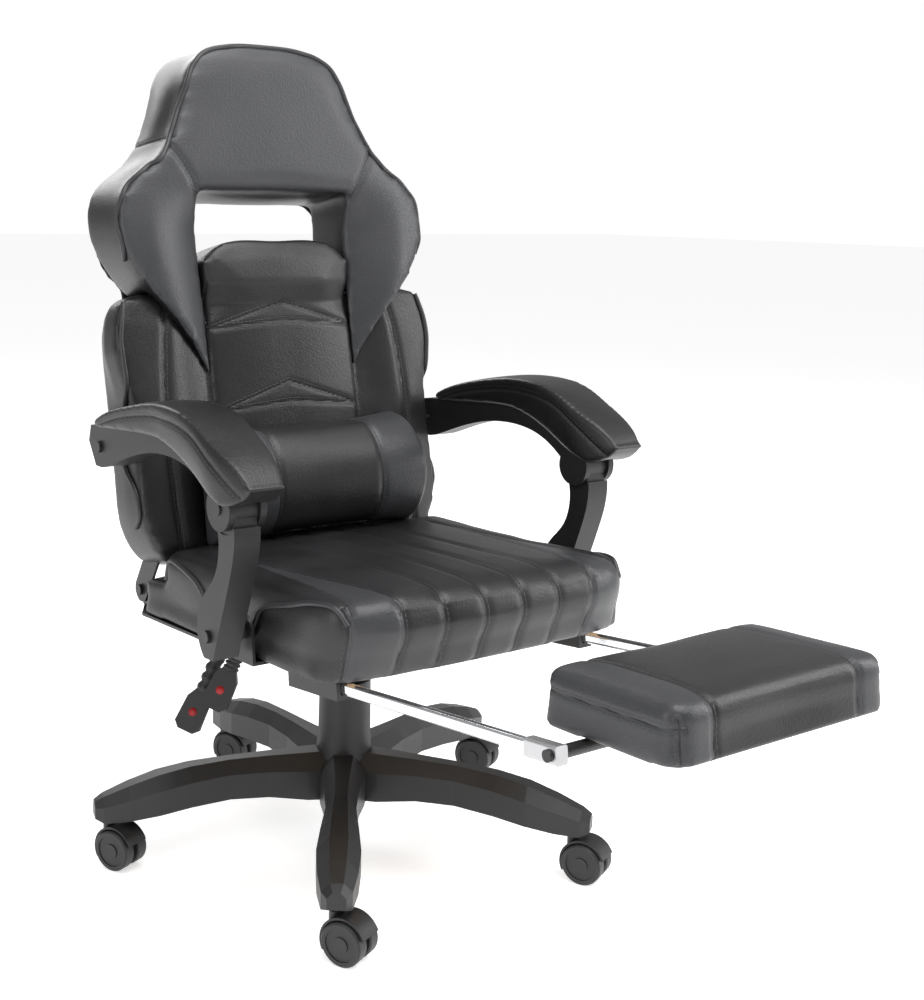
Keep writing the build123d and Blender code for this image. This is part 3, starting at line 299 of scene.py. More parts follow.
def leather(name, base=BLACK, panel=GREY, grain=0.5, stitch_gap=0.0035, stitch_step=0.0065):
    p = Paint(name)
    where = p.object_coordinates()
    jitter = p.node("ShaderNodeTexNoise", None, {"Vector": where, "Scale": 90.0}, output="Color")
    nudge = p.node("ShaderNodeVectorMath", {"operation": "SCALE"}, {0: jitter, "Scale": 0.006})
    warp = p.node("ShaderNodeVectorMath", {"operation": "ADD"}, {0: where, 1: nudge})
    coarse = p.cells(warp, 420.0, "SMOOTH_F1")
    fine = p.cells(warp, 900.0, "F1")
    pebble = coarse.band(0.05, 0.75) * 0.7 + fine.band(0.0, 0.8) * 0.3
    patches = p.noise(where, 7.0, 3.0)
    distance = SEAM_REACH - p.attribute("near")
    # The crease mask drives the groove's bump and roughness, and the painted shade in it.
    crease_and_shade = 1 - distance.band(0.0002, 0.0016)
    beside = 1 - (distance - stitch_gap).math("ABSOLUTE").band(0.0003, 0.0009)
    step = (p.attribute("along") / stitch_step).math("FRACT")
    thread = beside * (1 - (step - 0.5).math("ABSOLUTE").band(0.30, 0.38))
    tone = p.attribute("tone").band(-0.0004, 0.0004)
    shade = p.mix(tone, base, panel)
    cloudy = p.mix(patches.band(0.35, 0.7) * 0.22, shade, (0.06, 0.06, 0.065, 1))
    # Near black in the seam's crease is painted shade in the groove, added to its pressed relief.
    crease_shaded = p.mix(crease_and_shade * 0.85, cloudy, (0.002, 0.002, 0.002, 1))
    sewn = p.mix(thread * 0.55, crease_shaded, (0.055, 0.055, 0.06, 1))
    relief = p.bump(pebble, 0.00035, grain)
    seamed = p.bump(thread - crease_and_shade, 0.0009, 0.8, relief)
    gloss = 0.36 + patches * 0.16 + pebble * -0.08 + crease_and_shade * 0.2
    return p.set(Base_Color=sewn, Roughness=gloss, Normal=seamed, Specular_IOR_Level=0.5)


black_leather = leather("black_leather")
# The piping's leather is the black leather made paler: a painted highlight along the cord.
piping_highlit_leather = leather("piping_highlit_leather", base=(0.013, 0.013, 0.014, 1), grain=0.25)

# %% [markdown]
# ## Moulded nylon, steel, chrome and wood
# Each hard finish has its own tell: nylon is spark-eroded to a fine matt texture, powder coat has orange
# peel, chrome is smooth but never quite clean, zinc is dull, and raw plywood shows its grain.


# %% Hard finishes
def nylon(name, base, roughness, texture):
    p = Paint(name)
    where = p.object_coordinates()
    speckle = p.noise(where, 1800.0, 2.0, 0.6)
    patches = p.noise(where, 9.0, 3.0)
    colour = p.mix(patches.band(0.3, 0.75) * 0.3, base, tuple(c * 1.7 for c in base[:3]) + (1,))
    return p.set(
        Base_Color=colour,
        Roughness=roughness + patches * 0.12 + speckle * 0.06,
        Normal=p.bump(speckle, 0.0002, texture),
        Specular_IOR_Level=0.5,
    )


def powder_coat(name, base):
    p = Paint(name)
    where = p.object_coordinates()
    peel = p.noise(where, 700.0, 1.0)
    colour = p.mix(p.noise(where, 14.0).band(0.4, 0.7) * 0.3, base, tuple(c * 1.6 for c in base[:3]) + (1,))
    return p.set(Base_Color=colour, Roughness=0.38 + peel * 0.1, Normal=p.bump(peel, 0.0002, 0.4))


def plated(name, base, roughness, scratches):
    p = Paint(name)
    where = p.object_coordinates()
    stretched = p.node("ShaderNodeMapping", None, {"Vector": where, "Scale": (1.0, 0.06, 1.0)})
    brushed = p.noise(stretched, 900.0, 3.0)
    film = p.noise(where, 22.0, 3.0)
    return p.set(
        Base_Color=p.mix(film.band(0.3, 0.8) * 0.25, base, tuple(c * 0.8 for c in base[:3]) + (1,)),
        Metallic=1.0,
        Roughness=roughness + film * 0.06 + brushed * scratches,
        Normal=p.bump(brushed, 0.0001, scratches),
    )


def plywood(name):
    p = Paint(name)
    where = p.object_coordinates()
    stretched = p.node("ShaderNodeMapping", None, {"Vector": where, "Scale": (1.0, 0.08, 4.0)})
    rings = p.noise(stretched, 60.0, 5.0, 0.65)
    colour = p.mix(rings.band(0.35, 0.65), (0.42, 0.27, 0.14, 1), (0.62, 0.45, 0.27, 1))
    return p.set(Base_Color=colour, Roughness=0.62 + rings * 0.15, Normal=p.bump(rings, 0.0004, 0.5))


arm_nylon = nylon("arm_nylon", (0.012, 0.012, 0.013, 1), 0.36, 0.5)
base_nylon = nylon("base_nylon", (0.010, 0.010, 0.011, 1), 0.33, 0.6)
wheel_nylon = nylon("wheel_nylon", (0.016, 0.016, 0.017, 1), 0.42, 0.3)
cover_plastic = nylon("cover_plastic", (0.011, 0.011, 0.012, 1), 0.40, 0.7)
red_mark = nylon("red_mark", (0.30, 0.010, 0.012, 1), 0.40, 0.3)
black_coat = powder_coat("black_coat", (0.014, 0.014, 0.015, 1))
chrome = plated("chrome", (0.82, 0.83, 0.85, 1), 0.05, 0.04)
zinc = plated("zinc", (0.55, 0.55, 0.56, 1), 0.28, 0.25)
raw_plywood = plywood("raw_plywood")

# %% [markdown]
# ## Upholstery: the common steps
# Each cushion is moulded foam in a sewn cover. The foam's solid is copied, remeshed into even squares, and
# blown up a little by a cloth simulation, because a cover under tension rounds its edges and crowns its
# panels. Seams cannot survive the remeshing, so they are pressed in afterwards: every point near a seam line
# moves inward, and remembers how near it was, which lets the leather paint shade into the seam's crease and
# draw its stitches.


# %% Foam copy, inflation and smoothing
def foam_copy(name, nodes, voxel):
    """One closed even mesh of the named nodes' solids together."""
    bm = bmesh.new()
    for node in nodes:
        bm.from_mesh(frame["nodes"][node].data)
    bmesh.ops.remove_doubles(bm, verts=bm.verts, dist=1e-5)
    mesh = bpy.data.meshes.new(name)
    bm.to_mesh(mesh)
    bm.free()
    piece = bpy.data.objects.new(name, mesh)
    bpy.context.scene.collection.objects.link(piece)
    remesh = piece.modifiers.new("remesh", "REMESH")
    remesh.mode = "VOXEL"
    remesh.voxel_size = voxel
    keep_modified(piece)
    return piece


def keep_modified(piece):
    """Replace the piece's mesh by what its modifiers make of it."""
    bpy.context.view_layer.update()
    made = bpy.data.meshes.new_from_object(piece.evaluated_get(bpy.context.evaluated_depsgraph_get()))
    piece.modifiers.clear()
    piece.data = made


def points_of(piece):
    flat = np.empty(len(piece.data.vertices) * 3)
    piece.data.vertices.foreach_get("co", flat)
    return flat.reshape(-1, 3)


def normals_of(piece):
    flat = np.empty(len(piece.data.vertices) * 3)
    piece.data.vertex_normals.foreach_get("vector", flat)
    return flat.reshape(-1, 3)


def move_points(piece, points):
    piece.data.vertices.foreach_set("co", points.astype(np.float32).ravel())
    piece.data.update()


def soften(piece, rounds, share=0.5):
    """Average each point with its neighbours, which rounds the edges."""
    bm = bmesh.new()
    bm.from_mesh(piece.data)
    every_way = {"use_axis_x": True, "use_axis_y": True, "use_axis_z": True}
    for _ in range(rounds):
        bmesh.ops.smooth_vert(bm, verts=bm.verts, factor=share, **every_way)
    bm.to_mesh(piece.data)
    bm.free()


def evened(piece, change, rounds):
    """A change averaged over neighbouring points, which keeps its crown and drops its wrinkles."""
    ends = np.empty(len(piece.data.edges) * 2, dtype=np.int64)
    piece.data.edges.foreach_get("vertices", ends)
    a, b = ends.reshape(-1, 2).T
    count = np.bincount(ends, minlength=len(change)).astype(float)[:, None]
    for _ in range(rounds):
        total = np.zeros_like(change)
        for axis in range(3):
            total[:, axis] = np.bincount(a, change[b, axis], len(change))
            total[:, axis] += np.bincount(b, change[a, axis], len(change))
        change = 0.5 * change + 0.5 * total / np.maximum(count, 1)
    return change


CLOTH_STEPS = 20
EVENING_ROUNDS = 40


def inflate(piece, pressure, most):
    """Blow the cover up with a cloth simulation; no point moves by more than most."""
    start = points_of(piece)
    cloth = piece.modifiers.new("cloth", "CLOTH")
    cloth.settings.quality = 5
    cloth.settings.mass = 0.25
    cloth.settings.tension_stiffness = 25
    cloth.settings.compression_stiffness = 25
    cloth.settings.shear_stiffness = 10
    cloth.settings.bending_stiffness = 1.5
    cloth.settings.use_pressure = True
    cloth.settings.uniform_pressure_force = pressure
    cloth.settings.effector_weights.gravity = 0
    cloth.collision_settings.use_collision = False
    cloth.point_cache.frame_start = 1
    cloth.point_cache.frame_end = CLOTH_STEPS
    for step in range(1, CLOTH_STEPS + 1):
        bpy.context.scene.frame_set(step)
    blown = bpy.data.meshes.new_from_object(piece.evaluated_get(bpy.context.evaluated_depsgraph_get()))
    piece.modifiers.clear()
    bpy.context.scene.frame_set(1)
    piece.data = blown
    change = evened(piece, points_of(piece) - start, EVENING_ROUNDS)
    length = np.linalg.norm(change, axis=1, keepdims=True)
    limit = most * np.tanh(length / most) / np.maximum(length, 1e-9)
    move_points(piece, start + change * limit)
    print(piece.name, "swelled by up to", round(float(length.max()), 4), "m before its cap")


def subdivide(piece):
    smooth = piece.modifiers.new("subdivide", "SUBSURF")
    smooth.levels = smooth.render_levels = 1
    keep_modified(piece)


def shade(piece, paint, slot, body, *nodes):
    """Give a finished piece its material and its body, and hide the nodes that it stands for; the slot is not
    used.
    """
    piece.data.materials.clear()
    piece.data.materials.append(paint)
    piece.data.polygons.foreach_set("use_smooth", [True] * len(piece.data.polygons))
    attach(piece, body)
    if nodes:
        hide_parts(*nodes)
    print(piece.name, len(piece.data.polygons), "faces")
    return piece


# %% Seam lines and panels
def into_view(place_matrix, view, points):
    """Points in the axes of a place's flat view."""
    turn = np.array((place_matrix @ view).inverted())
    return points @ turn[:3, :3].T + turn[:3, 3]


def directions_into_view(place_matrix, view, directions):
    turn = np.array((place_matrix @ view).inverted())
    return directions @ turn[:3, :3].T


def bend_line(points, step=0.004):
    """A smooth run of points through the given ones, about step apart."""
    given = np.array(points, float)
    count = len(given)
    padded = np.vstack([2 * given[0] - given[1], given, 2 * given[-1] - given[-2]])
    run = []
    for i in range(count - 1):
        a, b, c, d = padded[i : i + 4]
        parts = max(2, int(np.linalg.norm(c - b) / step))
        t = np.linspace(0, 1, parts, endpoint=i == count - 2)[:, None]
        bend = (2 * a - 5 * b + 4 * c - d) * t**2 + (3 * b - a - 3 * c + d) * t**3
        run.append(0.5 * (2 * b + (c - a) * t + bend))
    return np.vstack(run)


def straight_line(points, step=0.004):
    """A run of points along straight pieces."""
    given = np.array(points, float)
    run = []
    for a, b in zip(given[:-1], given[1:]):
        parts = max(2, int(np.linalg.norm(b - a) / step))
        run.append(a + (b - a) * np.linspace(0, 1, parts, endpoint=False)[:, None])
    return np.vstack(run + [given[-1:]])


def mirrored(line):
    return np.column_stack([-line[:, 0], line[:, 1:]])


def line_distance(points, line):
    """Each point's distance to the line, and how far along the line its foot is, in two dimensions."""
    best = np.full(len(points), 1e9)
    along = np.zeros(len(points))
    gone = 0.0
    for a, b in zip(line[:-1], line[1:]):
        d = b - a
        length = float(np.hypot(*d))
        if length < 1e-9:
            continue
        near = (np.abs(points[:, 0] - a[0]) < 0.06) & (np.abs(points[:, 1] - a[1]) < 0.06)
        if near.any():
            some = points[near]
            t = np.clip(((some - a) @ d) / length**2, 0, 1)
            distance = np.hypot(*(some - a - t[:, None] * d).T)
            closer = distance < best[near]
            where = np.flatnonzero(near)[closer]
            best[where] = distance[closer]
            along[where] = gone + t[closer] * length
        gone += length
    return best, along


def outline_depth(points, outline):
    """Distance inside a closed outline, below zero outside it."""
    closed = np.vstack([outline, outline[:1]])
    inside = np.zeros(len(points), bool)
    best = np.full(len(points), 1e9)
    for a, b in zip(closed[:-1], closed[1:]):
        d = b - a
        t = np.clip(((points - a) @ d) / max(float(d @ d), 1e-12), 0, 1)
        best = np.minimum(best, np.hypot(*(points - a - t[:, None] * d).T))
        if a[1] != b[1]:
            crosses = ((a[1] > points[:, 1]) != (b[1] > points[:, 1])) & (
                points[:, 0] < (b[0] - a[0]) * (points[:, 1] - a[1]) / (b[1] - a[1]) + a[0]
            )
            inside ^= crosses
    return np.where(inside, best, -best)


def direction(place_matrix, way):
    """A direction given in a place's own axes, in the chair's."""
    return np.array(place_matrix.to_3x3() @ Vector(way))


class Tailor:
    """Presses seams into a cushion and marks its panels."""

    def __init__(self, piece, place_matrix):
        self.piece, self.place = piece, place_matrix
        self.points, self.normals = points_of(piece), normals_of(piece)
        self.raised = np.zeros(len(self.points))
        self.pressed = np.zeros(len(self.points))
        self.near = np.zeros(len(self.points))
        self.along = np.zeros(len(self.points))
        self.tone = np.full(len(self.points), -0.02)

    def seen(self, view, facing=0.35):
        """Points in a view, and which of them face it."""
        flat = into_view(self.place, view, self.points)
        toward = directions_into_view(self.place, view, self.normals)[:, 2]
        return flat, toward > facing

    def seam(self, view, line, depth=0.0025, width=0.006, facing=0.35):
        """Press a groove along a line, and remember how near to it each point is."""
        flat, faces = self.seen(view, facing)
        chosen = np.flatnonzero(faces)
        distance, along = line_distance(flat[chosen, :2], np.asarray(line)[:, :2])
        groove = depth * np.exp(-((distance / width) ** 2))
        self.pressed[chosen] = np.maximum(self.pressed[chosen], groove)
        nearness = np.maximum(0, SEAM_REACH - distance)
        closer = nearness > self.near[chosen]
        self.near[chosen[closer]] = nearness[closer]
        self.along[chosen[closer]] = along[closer]

    def panel(self, view, outline, where=None, facing=-2.0):
        """Mark the points inside an outline as a paler panel."""
        flat, faces = self.seen(view, facing)
        if where is not None:
            faces &= where(flat)
        chosen = np.flatnonzero(faces)
        depth = outline_depth(flat[chosen, :2], np.asarray(outline)[:, :2])
        self.tone[chosen] = np.maximum(self.tone[chosen], np.clip(depth, -0.02, 0.02))

    def crown(self, view, outline, height, facing=0.5, reach=0.05):
        """Raise the inside of an outline, most in its middle."""
        flat, faces = self.seen(view, facing)
        chosen = np.flatnonzero(faces)
        depth = np.clip(outline_depth(flat[chosen, :2], np.asarray(outline)[:, :2]) / reach, 0, 1)
        self.raised[chosen] += height * depth * (2 - depth)

    def finish(self):
        move_points(self.piece, self.points + self.normals * (self.raised - self.pressed)[:, None])
        for name in ("near", "along", "tone"):
            attribute = self.piece.data.attributes.new(name, "FLOAT", "POINT")
            attribute.data.foreach_set("value", getattr(self, name).astype(np.float32))
        return self.piece


# %% [markdown]
# ## Piping
# Piping is a cord sewn into the seam between two panels. A tube of leather follows the seam's line, laid onto
# the finished cushion by casting a ray onto its surface, so that it sits half sunk wherever the cushion went.
# Its leather is painted paler than the black, as a painted highlight along the cord.


# %% Piping on a surface
PIPING_RADIUS = 0.0035


def surface_of(piece):
    bm = bmesh.new()
    bm.from_mesh(piece.data)
    tree = BVHTree.FromBMesh(bm)
    bm.free()
    return tree


def laid_on(tree, place_matrix, view, line, start=0.35, lift=0.0):
    """The line's points cast along the view onto a surface, and lifted off it."""
    matrix = place_matrix @ view
    toward = (matrix.to_3x3() @ Vector((0, 0, 1))).normalized()
    laid = []
    for point in line:
        spot, normal, _, _ = tree.ray_cast(matrix @ Vector((point[0], point[1], start)), -toward)
        if spot is not None:
            laid.append(spot + normal * lift)
    return laid


def tube(name, points, radius=PIPING_RADIUS):
    """A mesh tube along a run of points."""
    curve = bpy.data.curves.new(name, "CURVE")
    curve.dimensions = "3D"
    curve.bevel_depth = radius
    curve.bevel_resolution = 2
    curve.use_fill_caps = True
    spline = curve.splines.new("POLY")
    spline.points.add(len(points) - 1)
    for target, point in zip(spline.points, points):
        target.co = (*point, 1)
    drawn = bpy.data.objects.new(name + "_line", curve)
    bpy.context.scene.collection.objects.link(drawn)
    bpy.context.view_layer.update()
    mesh = bpy.data.meshes.new_from_object(drawn.evaluated_get(bpy.context.evaluated_depsgraph_get()))
    bpy.data.objects.remove(drawn)
    bpy.data.curves.remove(curve)
    mesh.name = name
    piece = bpy.data.objects.new(name, mesh)
    bpy.context.scene.collection.objects.link(piece)
    return piece


def smooth_run(points, rounds):
    """Average each point of a run with its neighbours."""
    run = np.array([tuple(p) for p in points])
    for _ in range(rounds):
        run[1:-1] = (run[:-2] + 2 * run[1:-1] + run[2:]) / 4
    return run

# %% [markdown]
# ## Seat cushion
# The seat is one thick block of foam. Its black middle is sewn into five channels that run from the back over
# the front edge; a grey strip on each side starts narrow under the arms and widens to the front corners; and
# the boxing round the sides meets the top in piping. The foam's underside stays flat on its board.

# %% Seat foam
SEAT_SWELL = 0.009
TUCK = 0.028


def held_flat(piece, start, place_matrix, low, keep=0.0):
    """Undo the swelling of points that rest on something below low, in a place's own height."""
    moved = points_of(piece)
    height = into_view(place_matrix, TOP_VIEW, start)[:, 2]
    share = np.clip((height - low) / 0.02, keep, 1)[:, None]
    move_points(piece, start + (moved - start) * share)


def tuck_front(piece):
    """Draw the foot of the seat's front face back under it, and swell the face above."""
    points = points_of(piece)
    flat = into_view(SEAT, TOP_VIEW, points)
    front = np.clip((-0.270 - flat[:, 1]) / 0.07, 0, 1)
    foot = np.clip((0.055 - flat[:, 2]) / 0.055, 0, 1)
    swell = np.clip(1 - np.abs(flat[:, 2] - 0.062) / 0.03, 0, 1)
    rear = direction(SEAT, (0, 1, 0))
    move_points(piece, points + rear * (front * (TUCK * foot**1.5 - 0.005 * swell))[:, None])


seat = foam_copy("seat_cushion_cover", ["seat_cushion"], 0.006)
soften(seat, 3)
seat_start = points_of(seat)
inflate(seat, 4.0, SEAT_SWELL)
held_flat(seat, seat_start, SEAT, 0.004)
tuck_front(seat)
subdivide(seat)

# %% Seat seams, strips and crown
strip_outer = bend_line(
    [(-0.217, -0.345), (-0.212, -0.318), (-0.203, -0.270), (-0.195, -0.200), (-0.188, -0.100), (-0.184, 0.04)]
)
strip_inner = bend_line(
    [(-0.150, -0.360), (-0.152, -0.315), (-0.160, -0.240), (-0.170, -0.150), (-0.178, -0.060), (-0.182, 0.04)]
)
strip = np.vstack([strip_outer, strip_inner[::-1]])
tailor = Tailor(seat, SEAT)
seat_middle = np.array([(-0.18, -0.34), (0.18, -0.34), (0.18, 0.09), (-0.18, 0.09)])
tailor.crown(TOP_VIEW, seat_middle, 0.006, reach=0.16)
for channel in (-0.090, -0.030, 0.030, 0.090):
    top_line = bend_line([(channel, -0.352), (channel * 0.97, -0.2), (channel * 0.92, 0.1)])
    tailor.seam(TOP_VIEW, top_line, 0.0022, 0.007, facing=0.45)
    tailor.seam(FRONT_VIEW, straight_line([(channel, 0.004), (channel, 0.09)]), 0.0022, 0.007, facing=0.45)
for side in (1, -1):
    flip = mirrored if side > 0 else np.asarray
    tailor.seam(TOP_VIEW, flip(strip_inner), 0.0022, 0.006, facing=0.45)
    tailor.seam(TOP_VIEW, flip(strip_outer), 0.0020, 0.005, facing=0.45)
    tailor.panel(TOP_VIEW, flip(strip), facing=0.45)
    for x in (0.150, 0.217):
        strip_edge = straight_line([(side * x, 0.004), (side * x, 0.09)])
        tailor.seam(FRONT_VIEW, strip_edge, 0.0022, 0.005, facing=0.45)
    front_strip = np.array([(0.150, -0.01), (0.217, -0.01), (0.217, 0.12), (0.150, 0.12)]) * (side, 1)
    tailor.panel(FRONT_VIEW, front_strip, facing=0.45, where=lambda flat: flat[:, 2] > 0.30)
seat = tailor.finish()
shade(seat, black_leather, "black_leather", "seat", "seat_cushion")

# %% Seat piping
seat_tree = surface_of(seat)
for side, name in ((-1, "right"), (1, "left")):
    top_edge = bend_line(
        [(0.236, 0.088), (0.238, -0.05), (0.236, -0.200), (0.231, -0.262), (0.219, -0.306), (0.213, -0.318)]
    )
    line = top_edge * (side, 1)
    run = smooth_run(laid_on(seat_tree, SEAT, TOP_VIEW, line, lift=0.001), 4)
    shade(tube(f"seat_piping_{name}", run), piping_highlit_leather, "black_leather", "seat")

# %% [markdown]
# ## Back: wings and headrest
# The upper back is one piece of foam round an opening, covered in a pale grey leather, with dark boxing
# behind its piped edge. The wings lean in towards the opening, so their inner edges lie deeper than their
# rims. Two seams run from the neck to the opening's upper corners and part the headrest from the wings.

# %% Outlines of the back
REAR_ROUNDING = 0.030
REAR_DEPTH = 0.110
flank = bend_line(
    [
        (0.131, 0.318), (0.170, 0.380), (0.240, 0.465), (0.262, 0.530), (0.248, 0.580), (0.207, 0.615),
        (0.178, 0.649), (0.144, 0.724), (0.126, 0.763), (0.100, 0.785), (0.050, 0.795), (0.0, 0.797),
    ]
)  # fmt: skip
rim = np.vstack([flank, mirrored(flank)[::-1][1:]])
bolster_flank = bend_line(
    [
        (0.0, 0.055), (0.200, 0.055), (0.248, 0.089), (0.262, 0.165), (0.262, 0.310), (0.264, 0.390),
        (0.252, 0.436), (0.205, 0.462),
    ]
)  # fmt: skip
shoulders = np.array([(0.205, 0.462), (0.0, 0.500)])
bolsters = np.vstack([bolster_flank, shoulders, mirrored(shoulders)[::-1], mirrored(bolster_flank)[::-1]])
upper = flank[flank[:, 1] > 0.440]
whole_flank = np.vstack([bolster_flank[bolster_flank[:, 1] < 0.420], upper[upper[:, 0] > 0.0]])
whole = np.vstack([whole_flank, mirrored(whole_flank)[::-1]])


def fill_shoulders(piece):
    """Swell the bolsters outwards above the arms and up towards the wings."""
    points = points_of(piece)
    flat = into_view(BACK, FRONT_VIEW, points)
    outer = np.clip((np.abs(flat[:, 0]) - 0.185) / 0.055, 0, 1)
    below_wings = np.clip((0.47 - flat[:, 1]) / 0.03, 0, 1)
    near_front = np.clip((flat[:, 2] + 0.085) / 0.04, 0, 1)
    out = 0.016 * np.clip((flat[:, 1] - 0.29) / 0.07, 0, 1) * outer * below_wings * near_front
    lift = 0.018 * np.clip((flat[:, 1] - 0.36) / 0.06, 0, 1) * outer * below_wings
    across = direction(BACK, (1, 0, 0))
    upward = direction(BACK, (0, 0, 1))
    move_points(piece, points + (np.sign(flat[:, 0]) * out)[:, None] * across + lift[:, None] * upward)


def round_rear(piece, outline, most=0.022):
    """Draw the rear edge in towards the middle, more the further back a point lies."""
    points = points_of(piece)
    flat = into_view(BACK, FRONT_VIEW, points)
    rise = 0.2 * np.clip(-flat[:, 2], 0, None) * np.clip((flat[:, 1] - 0.45) / 0.1, 0, 1)
    spot = np.column_stack([flat[:, 0], flat[:, 1] - rise])
    deep = np.clip((-flat[:, 2] - (REAR_DEPTH - REAR_ROUNDING)) / REAR_ROUNDING, 0, 0.98)
    draw = np.minimum(REAR_ROUNDING * (1 - np.sqrt(1 - deep**2)), most)
    step = 0.004
    depth = outline_depth(spot, outline)
    slope = np.column_stack(
        [
            outline_depth(spot + (step, 0), outline) - outline_depth(spot - (step, 0), outline),
            outline_depth(spot + (0, step), outline) - outline_depth(spot - (0, step), outline),
        ]
    )
    slope /= np.maximum(np.linalg.norm(slope, axis=1, keepdims=True), 1e-9)
    amount = draw * np.clip(1 - depth / 0.07, 0, 1)
    across = direction(BACK, (1, 0, 0))
    upward = direction(BACK, (0, 0, 1))
    move = slope[:, :1] * across + slope[:, 1:] * upward
    move_points(piece, points + move * amount[:, None])


# %% Upper back foam
HEAD_SWELL = 0.007


def lean_wings(piece):
    """Push the wings' inner edges back, towards the arched panel between them."""
    points = points_of(piece)
    flat = into_view(BACK, FRONT_VIEW, points)
    front = np.clip((flat[:, 2] + 0.030) / 0.045, 0, 1)
    across = np.clip(1 - (np.abs(flat[:, 0]) - 0.128) / 0.085, 0, 1)
    low = np.clip((0.600 - flat[:, 1]) / 0.08, 0, 1)
    back = direction(BACK, (0, 1, 0))
    amount = 0.026 * across**1.6 * (3 - 2 * low) * low**2 * front
    move_points(piece, points + amount[:, None] * back)


head = foam_copy("headrest_cover", ["headrest_cushion"], 0.006)
soften(head, 3)
inflate(head, 4.0, HEAD_SWELL)
lean_wings(head)
round_rear(head, rim)
subdivide(head)

# %% Upper back seams and panels
tailor = Tailor(head, BACK)
for side in (1, -1):
    neck_seam = bend_line([(0.180, 0.650), (0.162, 0.628), (0.145, 0.600), (0.131, 0.574)]) * (side, 1)
    tailor.seam(FRONT_VIEW, neck_seam, 0.0025, 0.006)
    neck_box = straight_line([(-0.02, 0.655), (0.12, 0.665)])
    tailor.seam(from_side(side), neck_box, 0.0015, 0.004, facing=0.3)
tailor.panel(FRONT_VIEW, rim * 0.985 + (0, 0.006), facing=0.25)
head = tailor.finish()
shade(head, black_leather, "black_leather", "back", "headrest_cushion")

# %% Upper back piping
head_tree = surface_of(head)
inner_rim = rim - np.column_stack([np.sign(rim[:, 0]) * 0.006, (rim[:, 1] > 0.62) * 0.006])
run = smooth_run(laid_on(head_tree, BACK, FRONT_VIEW, inner_rim, lift=0.0016), 5)
shade(tube("headrest_piping", run), piping_highlit_leather, "black_leather", "back")

# %% [markdown]
# ## Back: bolsters and middle panel
# Below the wings the back has a bolster down each side and an arched panel between, which rises into the
# opening. The panel lies a little behind the bolsters and carries two pressed chevrons; each bolster has one
# long inner seam and a piped outer edge.

# %% Lower back foam
BACK_SWELL = 0.008


def sink_panel(piece):
    """Set the middle of the lower back behind the bolsters."""
    points = points_of(piece)
    flat = into_view(BACK, FRONT_VIEW, points)
    front = np.clip((flat[:, 2] + 0.075) / 0.05, 0, 1)
    across = np.clip(1 - (np.abs(flat[:, 0]) - 0.124) / 0.07, 0, 1)
    low = np.clip((0.452 - flat[:, 1]) / 0.03, 0, 1)
    back = direction(BACK, (0, 1, 0))
    amount = 0.016 * across * across * (3 - 2 * across) * low * front
    move_points(piece, points + amount[:, None] * back)


back = foam_copy("back_cushion_cover", ["back_cushion"], 0.006)
soften(back, 3)
inflate(back, 4.0, BACK_SWELL)
sink_panel(back)
fill_shoulders(back)
round_rear(back, bolsters)
subdivide(back)

# %% Lower back seams
tailor = Tailor(back, BACK)
panel_outline = np.array([(-0.12, 0.07), (0.12, 0.07), (0.12, 0.50), (0.0, 0.515), (-0.12, 0.50)])
tailor.crown(FRONT_VIEW, panel_outline, 0.007, reach=0.10)
for end_x, ends, peak, dip in ((0.124, 0.386, 0.423, 0.396), (0.122, 0.267, 0.306, 0.277)):
    for apex in (peak, dip):
        chevron = straight_line([(-end_x, ends), (0.0, apex), (end_x, ends)])
        tailor.seam(FRONT_VIEW, chevron, 0.0018, 0.004)
for side in (1, -1):
    panel_edge = bend_line([(side * 0.127, 0.05), (side * 0.127, 0.30), (side * 0.128, 0.45)])
    tailor.seam(FRONT_VIEW, panel_edge, 0.005, 0.007)
    inner = bend_line([(0.200, 0.07), (0.206, 0.26), (0.195, 0.388), (0.180, 0.44)]) * (side, 1)
    tailor.seam(FRONT_VIEW, inner, 0.0028, 0.006)
back = tailor.finish()
shade(back, black_leather, "black_leather", "back", "back_cushion")

# %% Bolster piping
back_tree = surface_of(back)
for side, name in ((-1, "right"), (1, "left")):
    edge = bend_line(
        [
            (0.225, 0.062), (0.247, 0.085), (0.254, 0.140), (0.256, 0.240), (0.257, 0.310), (0.262, 0.375),
            (0.250, 0.432),
        ]
    )  # fmt: skip
    run = smooth_run(laid_on(back_tree, BACK, FRONT_VIEW, edge * (side, 1), lift=0.0016), 4)
    shade(tube(f"bolster_piping_{name}", run), piping_highlit_leather, "black_leather", "back")

# %% [markdown]
# ## Rear panel
# The back of the backrest is a plain sheet of the same leather over a thin board. Its edge is drawn in with
# the foam's, and one seam runs across it at the shoulders.

# %% Rear panel
rear = foam_copy("rear_panel", ["back_cover"], 0.008)
soften(rear, 12)
fill_shoulders(rear)
round_rear(rear, whole)
subdivide(rear)
tailor = Tailor(rear, BACK)
REAR_VIEW = FRONT_VIEW @ Matrix.Diagonal((-1, 1, -1, 1))
tailor.seam(REAR_VIEW, straight_line([(-0.27, 0.452), (0.27, 0.452)]), 0.002, 0.005, facing=0.2)
rear = tailor.finish()
shade(rear, black_leather, "black_leather", "back", "back_cover")

# %% [markdown]
# ## Lumbar pillow, arm pads and footrest
# These three are loose or screwed-on cushions with fuller foam. They get the same treatment with their own
# seams: grey ends on the pillow and the footrest, and a stitched line along the side of each arm pad.

